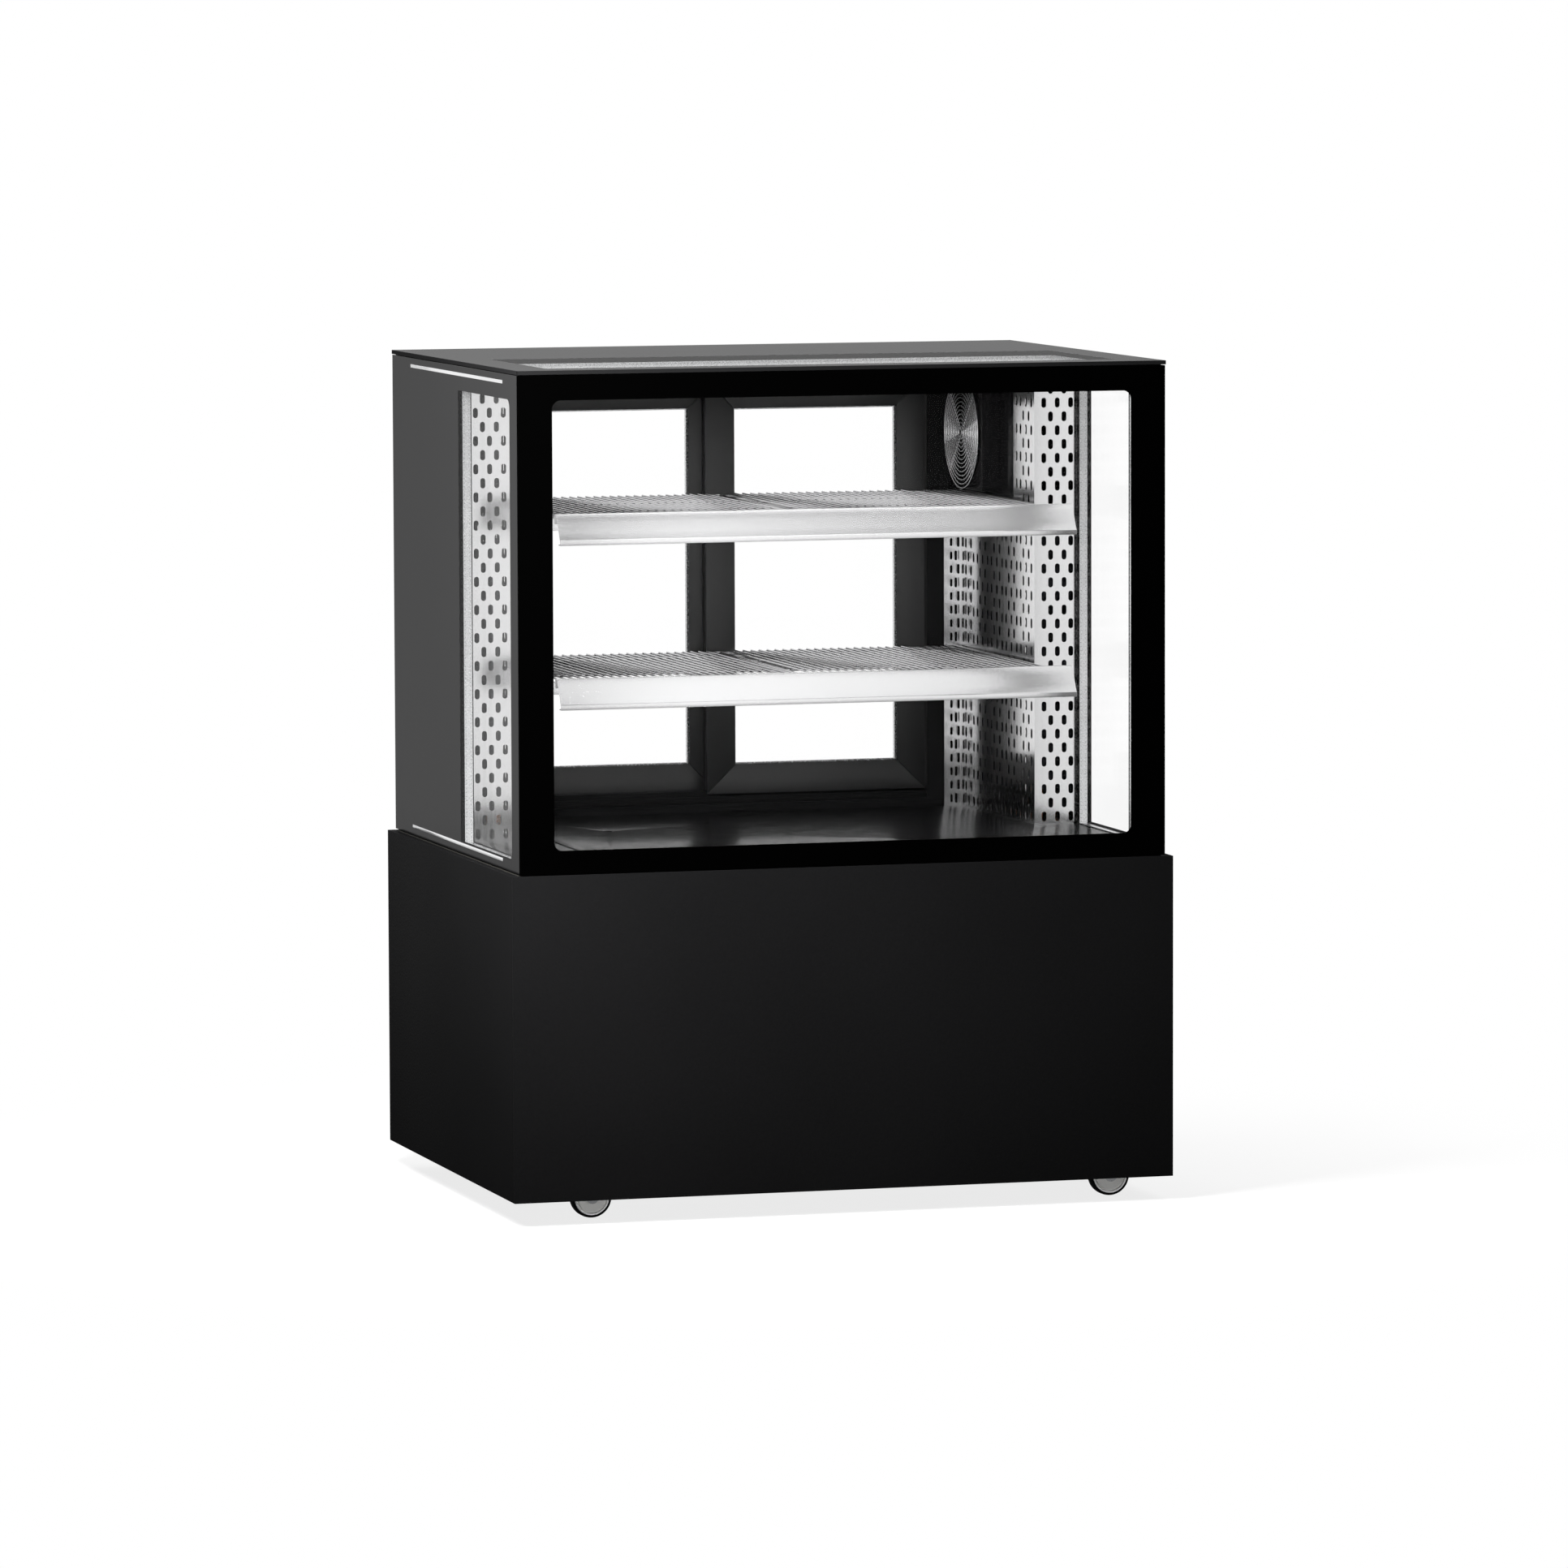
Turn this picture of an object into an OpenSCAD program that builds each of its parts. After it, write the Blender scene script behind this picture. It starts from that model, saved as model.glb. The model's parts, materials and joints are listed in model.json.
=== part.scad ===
// Refrigerated deli case: a glass display with two wire shelves on a machine base with casters.
// Millimetres, +Z up, origin on the floor under the middle of the case, -Y is the customer side.

/* [Case] */
// Width of the base cabinet
case_w = 1000; // [940:10:1200]
// Depth of the base cabinet
case_d = 750; // [700:10:850]
// Gap between the floor and the lower edge of the base
floor_gap = 36; // [30:1:42]
// Height of the base cabinet
base_h = 473; // [430:1:560]
// Height of the glass display above the base
glass_h = 726; // [690:1:860]
// Thickness of the powder-coated sheet
sheet = 1.5; // [1:0.5:2]
// Thickness of the chassis sheet and angles
chassis_t = 2; // [1.5:0.5:3]

/* [Glazing] */
// Step from the side of the base to the side glass
side_step = 12; // [8:1:16]
// Step from the front of the base to the front glass
front_step = 2; // [1:1:5]
// Thickness of an outer pane
pane_t = 5; // [4:1:6]
// Thickness of an inner pane
inner_t = 4; // [3:1:5]
// Width of the spacer bar between the panes
cavity = 15; // [12:1:16]
// Depth of the spacer bar, seen through the glass
bar_t = 7; // [6:1:8]
// Thickness of the top pane
top_t = 6; // [5:1:8]
// Printed border at the sides of the front glass
border_side = 51; // [48:1:60]
// Printed border under the front window
border_low = 35; // [32:1:45]
// Printed border over the front window
border_top = 37; // [32:1:45]
// Printed border under the side windows
side_low = 19; // [18:1:24]
// Distance from the front of the base to the side window
side_win_y = 49; // [46:1:60]
// Depth of the side window
side_win_d = 298; // [240:1:320]
// Distance from the front of the base to the roof window
roof_win_y = 62; // [56:1:80]
// Depth of the roof window
roof_win_d = 310; // [200:1:330]
// Height of the bright trim strips on the side glass
trim_h = 5; // [3:1:8]
// Length of the bright trim strips on the side glass
trim_len = 546; // [400:1:600]

/* [Display] */
// Height of the display floor above the base
deck_rise = 17; // [15:1:22]
// Width of the perforated column
column_w = 72; // [64:1:84]
// Distance from the side window to the perforated column
column_gap = 11; // [10:1:16]
// How far the duct wall leans in from front to rear
splay = 12; // [4:1:18]
// Thickness of the stainless duct sheet
duct_t = 1; // [0.8:0.1:1.5]
// Width of a perforation slot
slot_w = 7.5; // [5:0.5:9]
// Length of a perforation slot
slot_l = 15; // [10:1:18]
// Distance between the slot columns of the front face
column_pitch = 21.1; // [18:0.1:24]
// Distance between the slot columns of the side wall
wall_pitch = 23.6; // [20:0.1:25]
// Distance between the slot groups of the side wall
group_pitch = 64.6; // [62:0.1:70]
// Distance between slot rows of one kind
row_pitch = 41.4; // [36:0.1:50]
// Diameter of an air fan
fan_d = 150; // [120:2:154]
// Number of blades of a fan
fan_blades = 5; // [3:1:7]
// Distance between the guard rings
ring_pitch = 6.2; // [5:0.1:10]

/* [Shelves] */
// Height of the lower shelf above the display floor
shelf_low = 254; // [220:1:270]
// Height of the upper shelf above the lower shelf
shelf_step = 239; // [200:1:245]
// Distance from the front of the base to the shelf rail
shelf_front = 126; // [110:1:160]
// Height of a shelf rail
rail_h = 44; // [38:1:50]
// How far the foot of the rail stands in front of its head
rail_lean = 22; // [16:1:26]
// Diameter of the rim wire of a rack
rim_d = 5; // [4:0.5:6]
// Diameter of the grid wires of a rack
wire_d = 2.5; // [2:0.5:3]
// Distance between the grid wires
wire_pitch = 12.5; // [10:0.5:20]

/* [Doors] */
// Width of the door opening
door_open_w = 674; // [620:2:690]
// Face width of the door profile
door_bar = 45; // [36:1:52]
// Depth of the door profile
door_t = 20; // [19:1:21]
// Overlap of the two doors in the middle
door_overlap = 24; // [16:2:40]
// Length of a door pull
pull_len = 110; // [80:10:200]

/* [Machine] */
// Diameter of the compressor shell
compressor_d = 160; // [130:5:170]
// Width of the condenser
condenser_w = 300; // [260:10:340]
// Height of the condenser
condenser_h = 250; // [220:10:280]
// Diameter of the condenser fan
cond_fan_d = 200; // [160:5:220]
// Diameter of the copper pipes
pipe_d = 8; // [6:1:10]

/* [Casters] */
// Diameter of a caster wheel
wheel_d = 60; // [56:1:64]
// Width of a caster wheel
wheel_w = 20; // [18:1:24]
// Height of a caster from the floor to its plate
caster_h = 80; // [78:1:90]
// Trail of a caster
trail = 32; // [28:1:34]
// Distance from the side of the base to a caster
caster_inset_x = 104; // [95:1:130]
// Distance from the front or rear of the base to a caster
caster_inset_y = 86; // [80:1:120]

/* [Hidden] */
$fn = 48;
gap = 0.3;                                  // seat clearance between pieces
eps = 0.01;

// Levels above the floor
z_base = floor_gap;
z_sill = floor_gap + base_h;                // top of the base
z_top = z_sill + glass_h;                   // top of the case
z_roof = z_top - top_t;                     // underside of the top pane
z_pan = caster_h;                           // underside of the floor pan
z_pane = z_sill + 2;                        // lower edge of the wall panes
z_win0 = z_sill + border_low;
z_win1 = z_roof - border_top;
z_side0 = z_sill + side_low;
z_deck = z_sill + deck_rise;
pane_gap = 1;                               // seal line between the panes
lap = 9;                                    // the frame and the inner panes lie this far behind a window edge
bar_in = 2;                                 // the spacer bars start this far behind a window edge

// Planes across the case, all on the right-hand side
x_case = case_w / 2;
x_out = x_case - side_step;                 // outer face of the side glass
x_in = x_out - pane_t;
x_cav = x_in - cavity;
x_liner = x_cav - inner_t;
side_board = 9;                             // thickness of the side insulation
x_column = x_in - side_board;               // outer edge of the perforated column
x_duct = x_column - column_w;               // inner edge of the perforated column
x_win = x_out - border_side;

// Planes along the case
function from_front(d) = -case_d / 2 + d;
function from_rear(d) = case_d / 2 - d;
y_out = from_front(front_step);
y_in = y_out + pane_t;
y_cav = y_in + cavity;
y_liner = y_cav + inner_t;
y_win0 = from_front(side_win_y);
y_win1 = y_win0 + side_win_d;
y_roof0 = from_front(roof_win_y);
y_roof1 = y_roof0 + roof_win_d;
y_column = y_win1 + column_gap;
rear_margin = 2;
frame_t = 56;                               // thickness of the rear frame
y_frame1 = from_rear(rear_margin);
y_frame0 = y_frame1 - frame_t;
y_strip = y_frame0 - 2;                     // rear return of a duct

// Inner faces of the display frame
frame_in_x = x_win + lap;
frame_in_y = y_win0 - lap;
z_frame0 = z_win0 - lap;
z_frame1 = z_win1 + lap;
z_rail0 = z_side0 - lap;                    // top of the lower side rails
z_ceiling = z_frame1 - 4;

// ---------- small helpers ----------

module block(x0, x1, y0, y1, z0, z1) {
    translate([x0, y0, z0]) cube([x1 - x0, y1 - y0, z1 - z0]);
}

module rounded_rect(w, h, r) {
    translate([r, 0]) square([w - 2 * r, h]);
    translate([0, r]) square([w, h - 2 * r]);
    for (x = [r, w - r], y = [r, h - r]) translate([x, y]) circle(r = r);
}

// A frame in the XZ plane between two outlines, thickness along +Y from y0
module frame_xz(x0, x1, z0, z1, bar, y0, t) {
    translate([x0, y0 + t, z0]) rotate([90, 0, 0]) linear_extrude(t) difference() {
        square([x1 - x0, z1 - z0]);
        translate([bar, bar]) square([x1 - x0 - 2 * bar, z1 - z0 - 2 * bar]);
    }
}

module mirror_pair() {
    children();
    mirror([1, 0, 0]) children();
}

module rod(a, b, d) {
    v = b - a;
    len = norm(v);
    translate(a) rotate([0, acos(v[2] / len), atan2(v[1], v[0])]) cylinder(h = len, d = d, $fn = 16);
}

module pipe(points) {
    for (i = [0 : len(points) - 2]) rod(points[i], points[i + 1], pipe_d);
    for (i = [1 : len(points) - 2]) translate(points[i]) sphere(d = pipe_d, $fn = 24);
}

// ---------- base cabinet ----------

post_w = 35;
ring_drop = 30;
flange_t = 3;
z_ring = z_sill - 9;                        // underside of the ring flange
ring_x = x_case - 12;
ring_y0 = from_front(12);
ring_y1 = from_rear(14);
ring_in = 36;
rear_panel_y = from_rear(12);

module chassis() {
    color("dimgray") {
        difference() {
            block(-ring_x, ring_x, ring_y0, ring_y1, z_pan, z_pan + ring_drop);
            block(-ring_x + chassis_t, ring_x - chassis_t, ring_y0 + chassis_t, ring_y1 - chassis_t,
                  z_pan + chassis_t, z_pan + ring_drop + 1);
            translate([gland_x, gland_y, z_pan - 1]) cylinder(h = chassis_t + 2, r = gland_hole_r);
        }
        for (sx = [-1, 1], sy = [-1, 1]) corner_post(sx, sy);
        difference() {
            block(-ring_x, ring_x, ring_y0, ring_y1, z_ring - ring_drop, z_ring + flange_t);
            block(-ring_x + chassis_t, ring_x - chassis_t, ring_y0 + chassis_t, ring_y1 - chassis_t,
                  z_ring - ring_drop - 1, z_ring);
            block(-ring_x + ring_in, ring_x - ring_in, ring_y0 + ring_in, ring_y1 - ring_in,
                  z_ring - 1, z_ring + flange_t + 1);
        }
    }
}

module corner_post(sx, sy) {
    y = sy < 0 ? ring_y0 : ring_y1;
    h = z_ring - z_pan - chassis_t;
    translate([sx * ring_x, y, z_pan + chassis_t]) linear_extrude(h) {
        translate([sx > 0 ? -post_w : 0, sy > 0 ? -chassis_t : 0]) square([post_w, chassis_t]);
        translate([sx > 0 ? -chassis_t : 0, sy > 0 ? -post_w : 0]) square([chassis_t, post_w]);
    }
}

z_core = z_ring - 36;                       // underside of the insulated floor
wrap = 5;                                   // return of the front panel round the corner
groove = 2;                                 // shadow groove behind that return
ledge = side_step - 0.5;                    // top return under the glass
foot = 16;                                  // width of a panel's lower return

module front_panel() {
    y0 = from_front(0);
    color([0.07, 0.07, 0.07]) {
        block(-x_case, x_case, y0, y0 + sheet, z_base, z_sill);
        for (s = [-1, 1])
            block(s > 0 ? x_case - sheet : -x_case, s > 0 ? x_case : -x_case + sheet,
                  y0 + sheet - eps, y0 + wrap, z_base, z_sill);
        block(-x_case + sheet - eps, x_case - sheet + eps, y0 + sheet - eps, y0 + wrap,
              z_sill - sheet, z_sill);
        block(-ring_x, ring_x, y0 + wrap - eps, ring_y0 - gap, z_sill - sheet, z_sill);
        block(-x_case + sheet - eps, x_case - sheet + eps, y0 + sheet - eps, y0 + wrap,
              z_base, z_base + sheet);
        block(-x_case + foot, x_case - foot, y0 + wrap - eps, y0 + foot, z_base, z_base + sheet);
        for (x = [-x_case + 60, 0, x_case - 60])
            block(x - 20, x + 20, y0 + sheet - eps, ring_y0, z_ring - 25, z_ring - 22);
    }
}

module side_panel() {
    y0 = from_front(wrap + groove);
    color([0.07, 0.07, 0.07]) {
        block(x_case - sheet, x_case, y0, from_rear(0), z_base, z_sill);
        block(ring_x + gap, x_case - sheet + eps, y0, y0 + sheet, z_base, z_sill - sheet);
        block(ring_x + gap, x_case - sheet + eps, y0, from_rear(0), z_sill - sheet, z_sill);
        block(x_case - foot + gap, x_case - sheet + eps, y0, rear_panel_y - gap, z_base, z_base + sheet);
        block(ring_x + gap, x_case - sheet + eps, from_rear(sheet), from_rear(0), z_base, z_sill - sheet);
        for (y = [from_front(90), 0, from_rear(90)])
            block(ring_x, x_case - sheet + eps, y - 20, y + 20, z_ring - 25, z_ring - 22);
    }
}

module left_panel() mirror([1, 0, 0]) side_panel();
module right_panel() side_panel();

grille_x0 = -400;
grille_x1 = 400;
grille_z0 = 120;
grille_z1 = 400;
grille_lip = 10;
control_x = 300;
control_z = z_ring - 52;
control_w = 78;
control_h = 30;
switch_x = control_x + 72;
switch_w = 20;
switch_h = 28;

module rear_panel() {
    t = sheet;
    color([0.07, 0.07, 0.07]) {
        translate([0, rear_panel_y + t, 0]) rotate([90, 0, 0]) linear_extrude(t) difference() {
            translate([-ring_x, z_base]) square([2 * ring_x, z_sill - z_base]);
            translate([grille_x0 + grille_lip, grille_z0 + grille_lip])
                square([grille_x1 - grille_x0 - 2 * grille_lip, grille_z1 - grille_z0 - 2 * grille_lip]);
            translate([control_x - control_w / 2, control_z - control_h / 2]) square([control_w, control_h]);
            translate([switch_x - switch_w / 2, control_z - switch_h / 2]) square([switch_w, switch_h]);
        }
        block(-ring_x, ring_x, rear_panel_y + t - eps, from_rear(0), z_sill - t, z_sill);
        block(-ring_x, ring_x, ring_y1, rear_panel_y + eps, z_ring - 25, z_ring - 22);
    }
}

louvre_rows = 12;
louvre_cols = 4;
louvre_w = 160;
louvre_t = 1;

module rear_grille() {
    y0 = rear_panel_y + sheet;
    pitch_x = (grille_x1 - grille_x0) / louvre_cols;
    pitch_z = (grille_z1 - grille_z0 - 30) / louvre_rows;
    color([0.09, 0.09, 0.09]) {
        translate([0, y0 + sheet, 0]) rotate([90, 0, 0]) linear_extrude(sheet) difference() {
            translate([grille_x0, grille_z0]) square([grille_x1 - grille_x0, grille_z1 - grille_z0]);
            for (c = [0 : louvre_cols - 1], r = [0 : louvre_rows - 1])
                translate([grille_x0 + (c + 0.5) * pitch_x - louvre_w / 2, grille_z0 + 18 + r * pitch_z])
                    square([louvre_w, 9]);
        }
        for (c = [0 : louvre_cols - 1], r = [0 : louvre_rows - 1])
            translate([grille_x0 + (c + 0.5) * pitch_x - louvre_w / 2, y0 + sheet - eps,
                       grille_z0 + 18 + r * pitch_z])
                louvre_hood();
    }
}

// A sloping hood over one slot, open at its lower edge
module louvre_hood() {
    rotate([90, 0, 90]) linear_extrude(louvre_w)
        polygon([[0, 10], [0, 9], [5, 0], [5 + louvre_t, 0], [5 + louvre_t, 1], [1, 10]]);
}

module insulated_floor() {
    color([0.75, 0.72, 0.6]) difference() {
        union() {
            block(-ring_x + 1, ring_x - 1, ring_y0 + 1, ring_y1 - 1, z_ring + flange_t, z_sill);
            block(-ring_x + ring_in + 1, ring_x - ring_in - 1, ring_y0 + ring_in + 1, ring_y1 - ring_in - 1,
                  z_core, z_ring + flange_t + eps);
            block(-frame_in_x + gap, frame_in_x - gap, frame_in_y + gap, y_frame0 - gap,
                  z_sill - eps, z_rail0 + eps);
            block(-x_liner + gap, x_liner - gap, frame_in_y + gap, y_frame0 - gap,
                  z_rail0, z_deck - tray_t);
        }
        for (s = [-1, 1], at = risers) translate([s * at[0], at[1], z_core - 1])
            cylinder(h = z_deck - z_core, d = pipe_d + 2 * gap);
        translate([drain_x, drain_y, z_core - 1]) cylinder(h = z_deck - z_core, d = drain_d + 2 * gap);
    }
}

// ---------- machine compartment ----------

comp_x = 190;
comp_y = 20;
comp_h = 170;
comp_lift = 22;
comp_foot = 14;                             // the mounting plate reaches this far past the feet's axes
z_floor = z_pan + chassis_t;

module compressor() {
    r = compressor_d / 2;
    z0 = z_floor + comp_lift;
    color([0.08, 0.08, 0.09]) {
        translate([comp_x, comp_y, z0]) rotate_extrude($fn = 72)
            polygon(concat([[0, 0], [r, 0]],
                           [for (a = [0 : 7.5 : 82.5]) [r * cos(a), comp_h - r + r * sin(a)]],
                           [[0, comp_h - r + r * sin(82.5)]]));
        translate([suction_x, suction_y, boss_z() - 16]) cylinder(h = 16, d = pipe_d + 6);
        translate([comp_x, comp_y, z0 + comp_h * 0.45]) cylinder(h = 5, r = r + 3, $fn = 72);
        difference() {
            block(comp_x - r - comp_foot, comp_x + r + comp_foot,
                  comp_y - r * 0.5 - comp_foot, comp_y + r * 0.5 + comp_foot, z0 - 4, z0 + eps);
            for (sx = [-1, 1], sy = [-1, 1])
                translate([comp_x + sx * r, comp_y + sy * r * 0.5, z0 - 5]) cylinder(h = 6, d = 8);
        }
        for (sx = [-1, 1], sy = [-1, 1])
            translate([comp_x + sx * r, comp_y + sy * r * 0.5, z_floor]) difference() {
                cylinder(h = comp_lift - 4, d = 20);
                translate([0, 0, -1]) cylinder(h = comp_lift, d = 7);
            }
        block(comp_x - 28, comp_x + 28, comp_y - r - 24, comp_y - r + 8, z0 + 14, z0 + 70);
    }
}

// Height of the shell over its foot at a distance from the axis
function dome(dx, dy) = comp_h - compressor_d / 2 + sqrt(pow(compressor_d / 2, 2) - dx * dx - dy * dy);

// Top of the boss that the suction pipe stands on
function boss_z() = z_floor + comp_lift + dome(suction_x - comp_x, suction_y - comp_y) + 6;

cond_x = 190;
cond_y1 = from_rear(52);
cond_t = 60;
cond_y0 = cond_y1 - cond_t;
cond_z0 = z_floor + 30;
fin_pitch = 15;
shroud_t = 2;
drier_len = 120;
suction_x = comp_x - 30;
link_d = 12;                                // reach of the links at the ends of a coil
line_gap = 12;                              // distance between the liquid and the suction risers

module condenser() {
    x0 = cond_x - condenser_w / 2;
    x1 = cond_x + condenser_w / 2;
    fins = floor((condenser_w - 12) / fin_pitch);
    color([0.72, 0.73, 0.75]) {
        for (x = [x0, x1 - 3]) block(x, x + 3, cond_y0, cond_y1, cond_z0, cond_z0 + condenser_h);
        for (i = [1 : fins])
            block(x0 + i * fin_pitch, x0 + i * fin_pitch + 1, cond_y0 + 4, cond_y1 - 4,
                  cond_z0 + 8, cond_z0 + condenser_h - 8);
        for (j = [0 : 4], k = [0, 1])
            translate([x0 - 8, cond_y0 + 18 + k * 24, cond_z0 + 30 + j * (condenser_h - 60) / 4])
                rotate([0, 90, 0]) cylinder(h = condenser_w + 16, d = 9, $fn = 20);
        difference() {
            block(x0, x1, cond_y0 - 30, cond_y0, cond_z0, cond_z0 + condenser_h);
            block(x0 + shroud_t, x1 - shroud_t, cond_y0 - 30 + shroud_t, cond_y0 + 1,
                  cond_z0 + shroud_t, cond_z0 + condenser_h - shroud_t);
            translate([cond_x, cond_y0 - 20, cond_z0 + condenser_h / 2]) rotate([90, 0, 0])
                cylinder(h = 20, d = cond_fan_d + 8, $fn = 72);
        }
        for (x = [x0, x1 - 20]) block(x, x + 20, cond_y0, cond_y1, z_floor, cond_z0 + eps);
    }
}

motor_d = 84;
hub_d = 50;
shaft_d = 8;
cond_fan_y = cond_y0 - 34;
cond_motor_y = cond_y0 - 60;
cond_motor_l = 62;

module condenser_motor() {
    zc = cond_z0 + condenser_h / 2;
    color([0.12, 0.12, 0.13]) {
        translate([cond_x, cond_motor_y, zc]) rotate([90, 0, 0]) cylinder(h = cond_motor_l, d = motor_d);
        translate([cond_x, cond_fan_y + 14, zc]) rotate([90, 0, 0])
            cylinder(h = cond_fan_y + 14 - cond_motor_y + 1, d = shaft_d);
        for (s = [-1, 1]) {
            block(cond_x + s * (motor_d / 2 + 1) - 3, cond_x + s * (motor_d / 2 + 1) + 3,
                  cond_motor_y - 45, cond_motor_y - 30, z_floor, zc);
            block(cond_x + s * (motor_d / 2 + 1) - 12, cond_x + s * (motor_d / 2 + 1) + 12,
                  cond_motor_y - 50, cond_motor_y - 24, z_floor, z_floor + 3);
        }
    }
}

// A fan wheel about +Z with a bore that runs on its shaft
module fan_wheel(d, blades, hub, depth, pitch) {
    difference() {
        cylinder(h = depth, d = hub);
        translate([0, 0, -1]) cylinder(h = depth + 2, d = shaft_d + 0.1);
    }
    for (i = [0 : blades - 1]) rotate(i * 360 / blades)
        translate([hub / 2 - 2, 0, depth / 2]) rotate([pitch, 0, 0])
            linear_extrude(1.6, center = true) fan_blade(d / 2 - hub / 2 + 1, d * 0.36);
}

// Outline of one blade, root at the origin and a swept tip along +X
module fan_blade(reach, chord) {
    intersection() {
        translate([0, -chord / 2]) square([reach, chord]);
        translate([reach - chord * 0.9, 0]) circle(r = chord * 0.9, $fn = 64);
        translate([reach * 0.5, chord * 0.12]) circle(r = reach * 0.66, $fn = 64);
    }
}

module condenser_blades() {
    color([0.2, 0.2, 0.22])
        translate([cond_x, cond_fan_y + 9, cond_z0 + condenser_h / 2]) rotate([90, 0, 0])
            fan_wheel(cond_fan_d, fan_blades, hub_d, 18, 28);
}

// Liquid runs from the condenser through the drier to the coils, and suction gas back to the compressor
module refrigerant_lines() {
    r = compressor_d / 2;
    z_out = z_floor + comp_lift + 40;
    z_in = cond_z0 + condenser_h - 30;
    z_liquid = cond_z0 + 30;
    y_in = cond_y0 + 18;
    y_liquid = cond_y0 + 42;
    x_coil = cond_x - condenser_w / 2 - 8 - gap;
    x_rise = x_coil - 25;
    x_drier = x_coil - 50;
    x_line = x_drier - drier_len - 40;
    z_header = z_core - 34;
    z_suction = z_header - 16;
    color([0.72, 0.42, 0.25]) {
        pipe([[x_coil, y_in, z_in], [x_rise, y_in, z_in], [x_rise, comp_y, z_in],
              [x_rise, comp_y, z_out], [comp_x - r - gap, comp_y, z_out]]);
        pipe([[x_coil, y_liquid, z_liquid], [x_drier - 1, y_liquid, z_liquid]]);
        translate([x_drier, y_liquid, z_liquid]) rotate([0, -90, 0]) filter_drier();
        pipe([[x_drier - drier_len + 1, y_liquid, z_liquid], [x_line, y_liquid, z_liquid],
              [x_line, y_liquid, z_header], [x_line, riser_y, z_header]]);
        header(tube_x[1], riser_y, z_header);
        tee(x_line, riser_y, z_header);
        pipe([[suction_x, suction_y, boss_z() + gap], [suction_x, suction_y, z_suction]]);
        header(tube_x[0], suction_y, z_suction);
        tee(suction_x, suction_y, z_suction);
        mirror_pair() coil_links();
    }
}

// A pipe under the floor that rises at both ends to the lowest tube of each coil
module header(x, y, z) {
    pipe([[-x, coil_y0 - gap, tube_z(0)], [-x, y, tube_z(0)], [-x, y, z],
          [x, y, z], [x, y, tube_z(0)], [x, coil_y0 - gap, tube_z(0)]]);
}

module tee(x, y, z) translate([x - 11, y, z]) rotate([0, 90, 0]) cylinder(h = 22, d = pipe_d + 3);

// Links between the tube ends of one coil: the gas goes up one column and down the other
module coil_links() {
    y_front = coil_y0 - gap;
    y_rear = coil_y1 + 2 + gap;
    last = tube_rows - 1;
    for (x = tube_x) {
        for (i = [1 : 2 : last - 1]) u_link(x, tube_z(i), tube_z(i + 1), y_front, y_front - link_d);
        for (i = [0 : 2 : last - 1]) u_link(x, tube_z(i), tube_z(i + 1), y_rear, y_rear + link_d);
    }
    pipe([[tube_x[0], y_front, tube_z(last)], [tube_x[0], y_front - link_d, tube_z(last)],
          [tube_x[1], y_front - link_d, tube_z(last)], [tube_x[1], y_front, tube_z(last)]]);
}

module u_link(x, z0, z1, y, y_far) pipe([[x, y, z0], [x, y_far, z0], [x, y_far, z1], [x, y, z1]]);

module filter_drier() {
    l = drier_len;
    r0 = pipe_d / 2 + 1;
    r1 = r0 + 8;
    rotate_extrude($fn = 40)
        polygon([[0, 0], [r0, 0], [r0, 12], [r1, 24], [r1, l - 24], [r0, l - 12], [r0, l], [0, l]]);
}

drain_x = -240;
drain_y = 60;
drain_d = 20;
drip_x = [-360, -120];
drip_y = [-120, 160];
drip_h = 45;

module drip_tray() {
    color([0.6, 0.61, 0.62]) {
        difference() {
            block(drip_x[0], drip_x[1], drip_y[0], drip_y[1], z_floor, z_floor + drip_h);
            block(drip_x[0] + sheet, drip_x[1] - sheet, drip_y[0] + sheet, drip_y[1] - sheet,
                  z_floor + sheet, z_floor + drip_h + 1);
        }
        translate([drain_x, drain_y, z_floor + 30]) difference() {
            cylinder(h = z_deck - tray_t - z_floor - 30, d = drain_d);
            translate([0, 0, -1]) cylinder(h = z_deck, d = drain_d - 4);
        }
    }
}

module control_panel() {
    y0 = rear_panel_y + sheet;
    color([0.1, 0.1, 0.11]) {
        block(control_x - control_w / 2 + gap, control_x + control_w / 2 - gap, y0 - 50, y0 + eps,
              control_z - control_h / 2 + gap, control_z + control_h / 2 - gap);
        difference() {
            block(control_x - control_w / 2 - 4, control_x + control_w / 2 + 4, y0, y0 + 3,
                  control_z - control_h / 2 - 3, control_z + control_h / 2 + 3);
            block(control_x - 18, control_x + 30, y0 + 2, y0 + 4, control_z - 11, control_z + 11);
        }
        for (i = [0 : 3])
            block(control_x - 36 + (i % 2) * 9, control_x - 30 + (i % 2) * 9, y0 + 3 - eps, y0 + 3.6,
                  control_z - 10 + floor(i / 2) * 14, control_z - 4 + floor(i / 2) * 14);
        difference() {
            block(switch_x - switch_w / 2 - 3, switch_x + switch_w / 2 + 3, y0, y0 + 2,
                  control_z - switch_h / 2 - 3, control_z + switch_h / 2 + 3);
            block(switch_x - switch_w / 2 + 2, switch_x + switch_w / 2 - 2, y0 - 1, y0 + 3,
                  control_z - switch_h / 2 + 2, control_z + switch_h / 2 - 2);
        }
        difference() {
            block(switch_x - switch_w / 2 + gap, switch_x + switch_w / 2 - gap, y0 - 24, y0 + eps,
                  control_z - switch_h / 2 + gap, control_z + switch_h / 2 - gap);
            block(switch_x - switch_w / 2 + 2, switch_x + switch_w / 2 - 2, y0 - 22, y0 + 3,
                  control_z - switch_h / 2 + 2, control_z + switch_h / 2 - 2);
        }
    }
}

rocker_y = rear_panel_y + sheet - 8;
rocker_rest = 7;                            // the rocker rests tilted to one side

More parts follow.
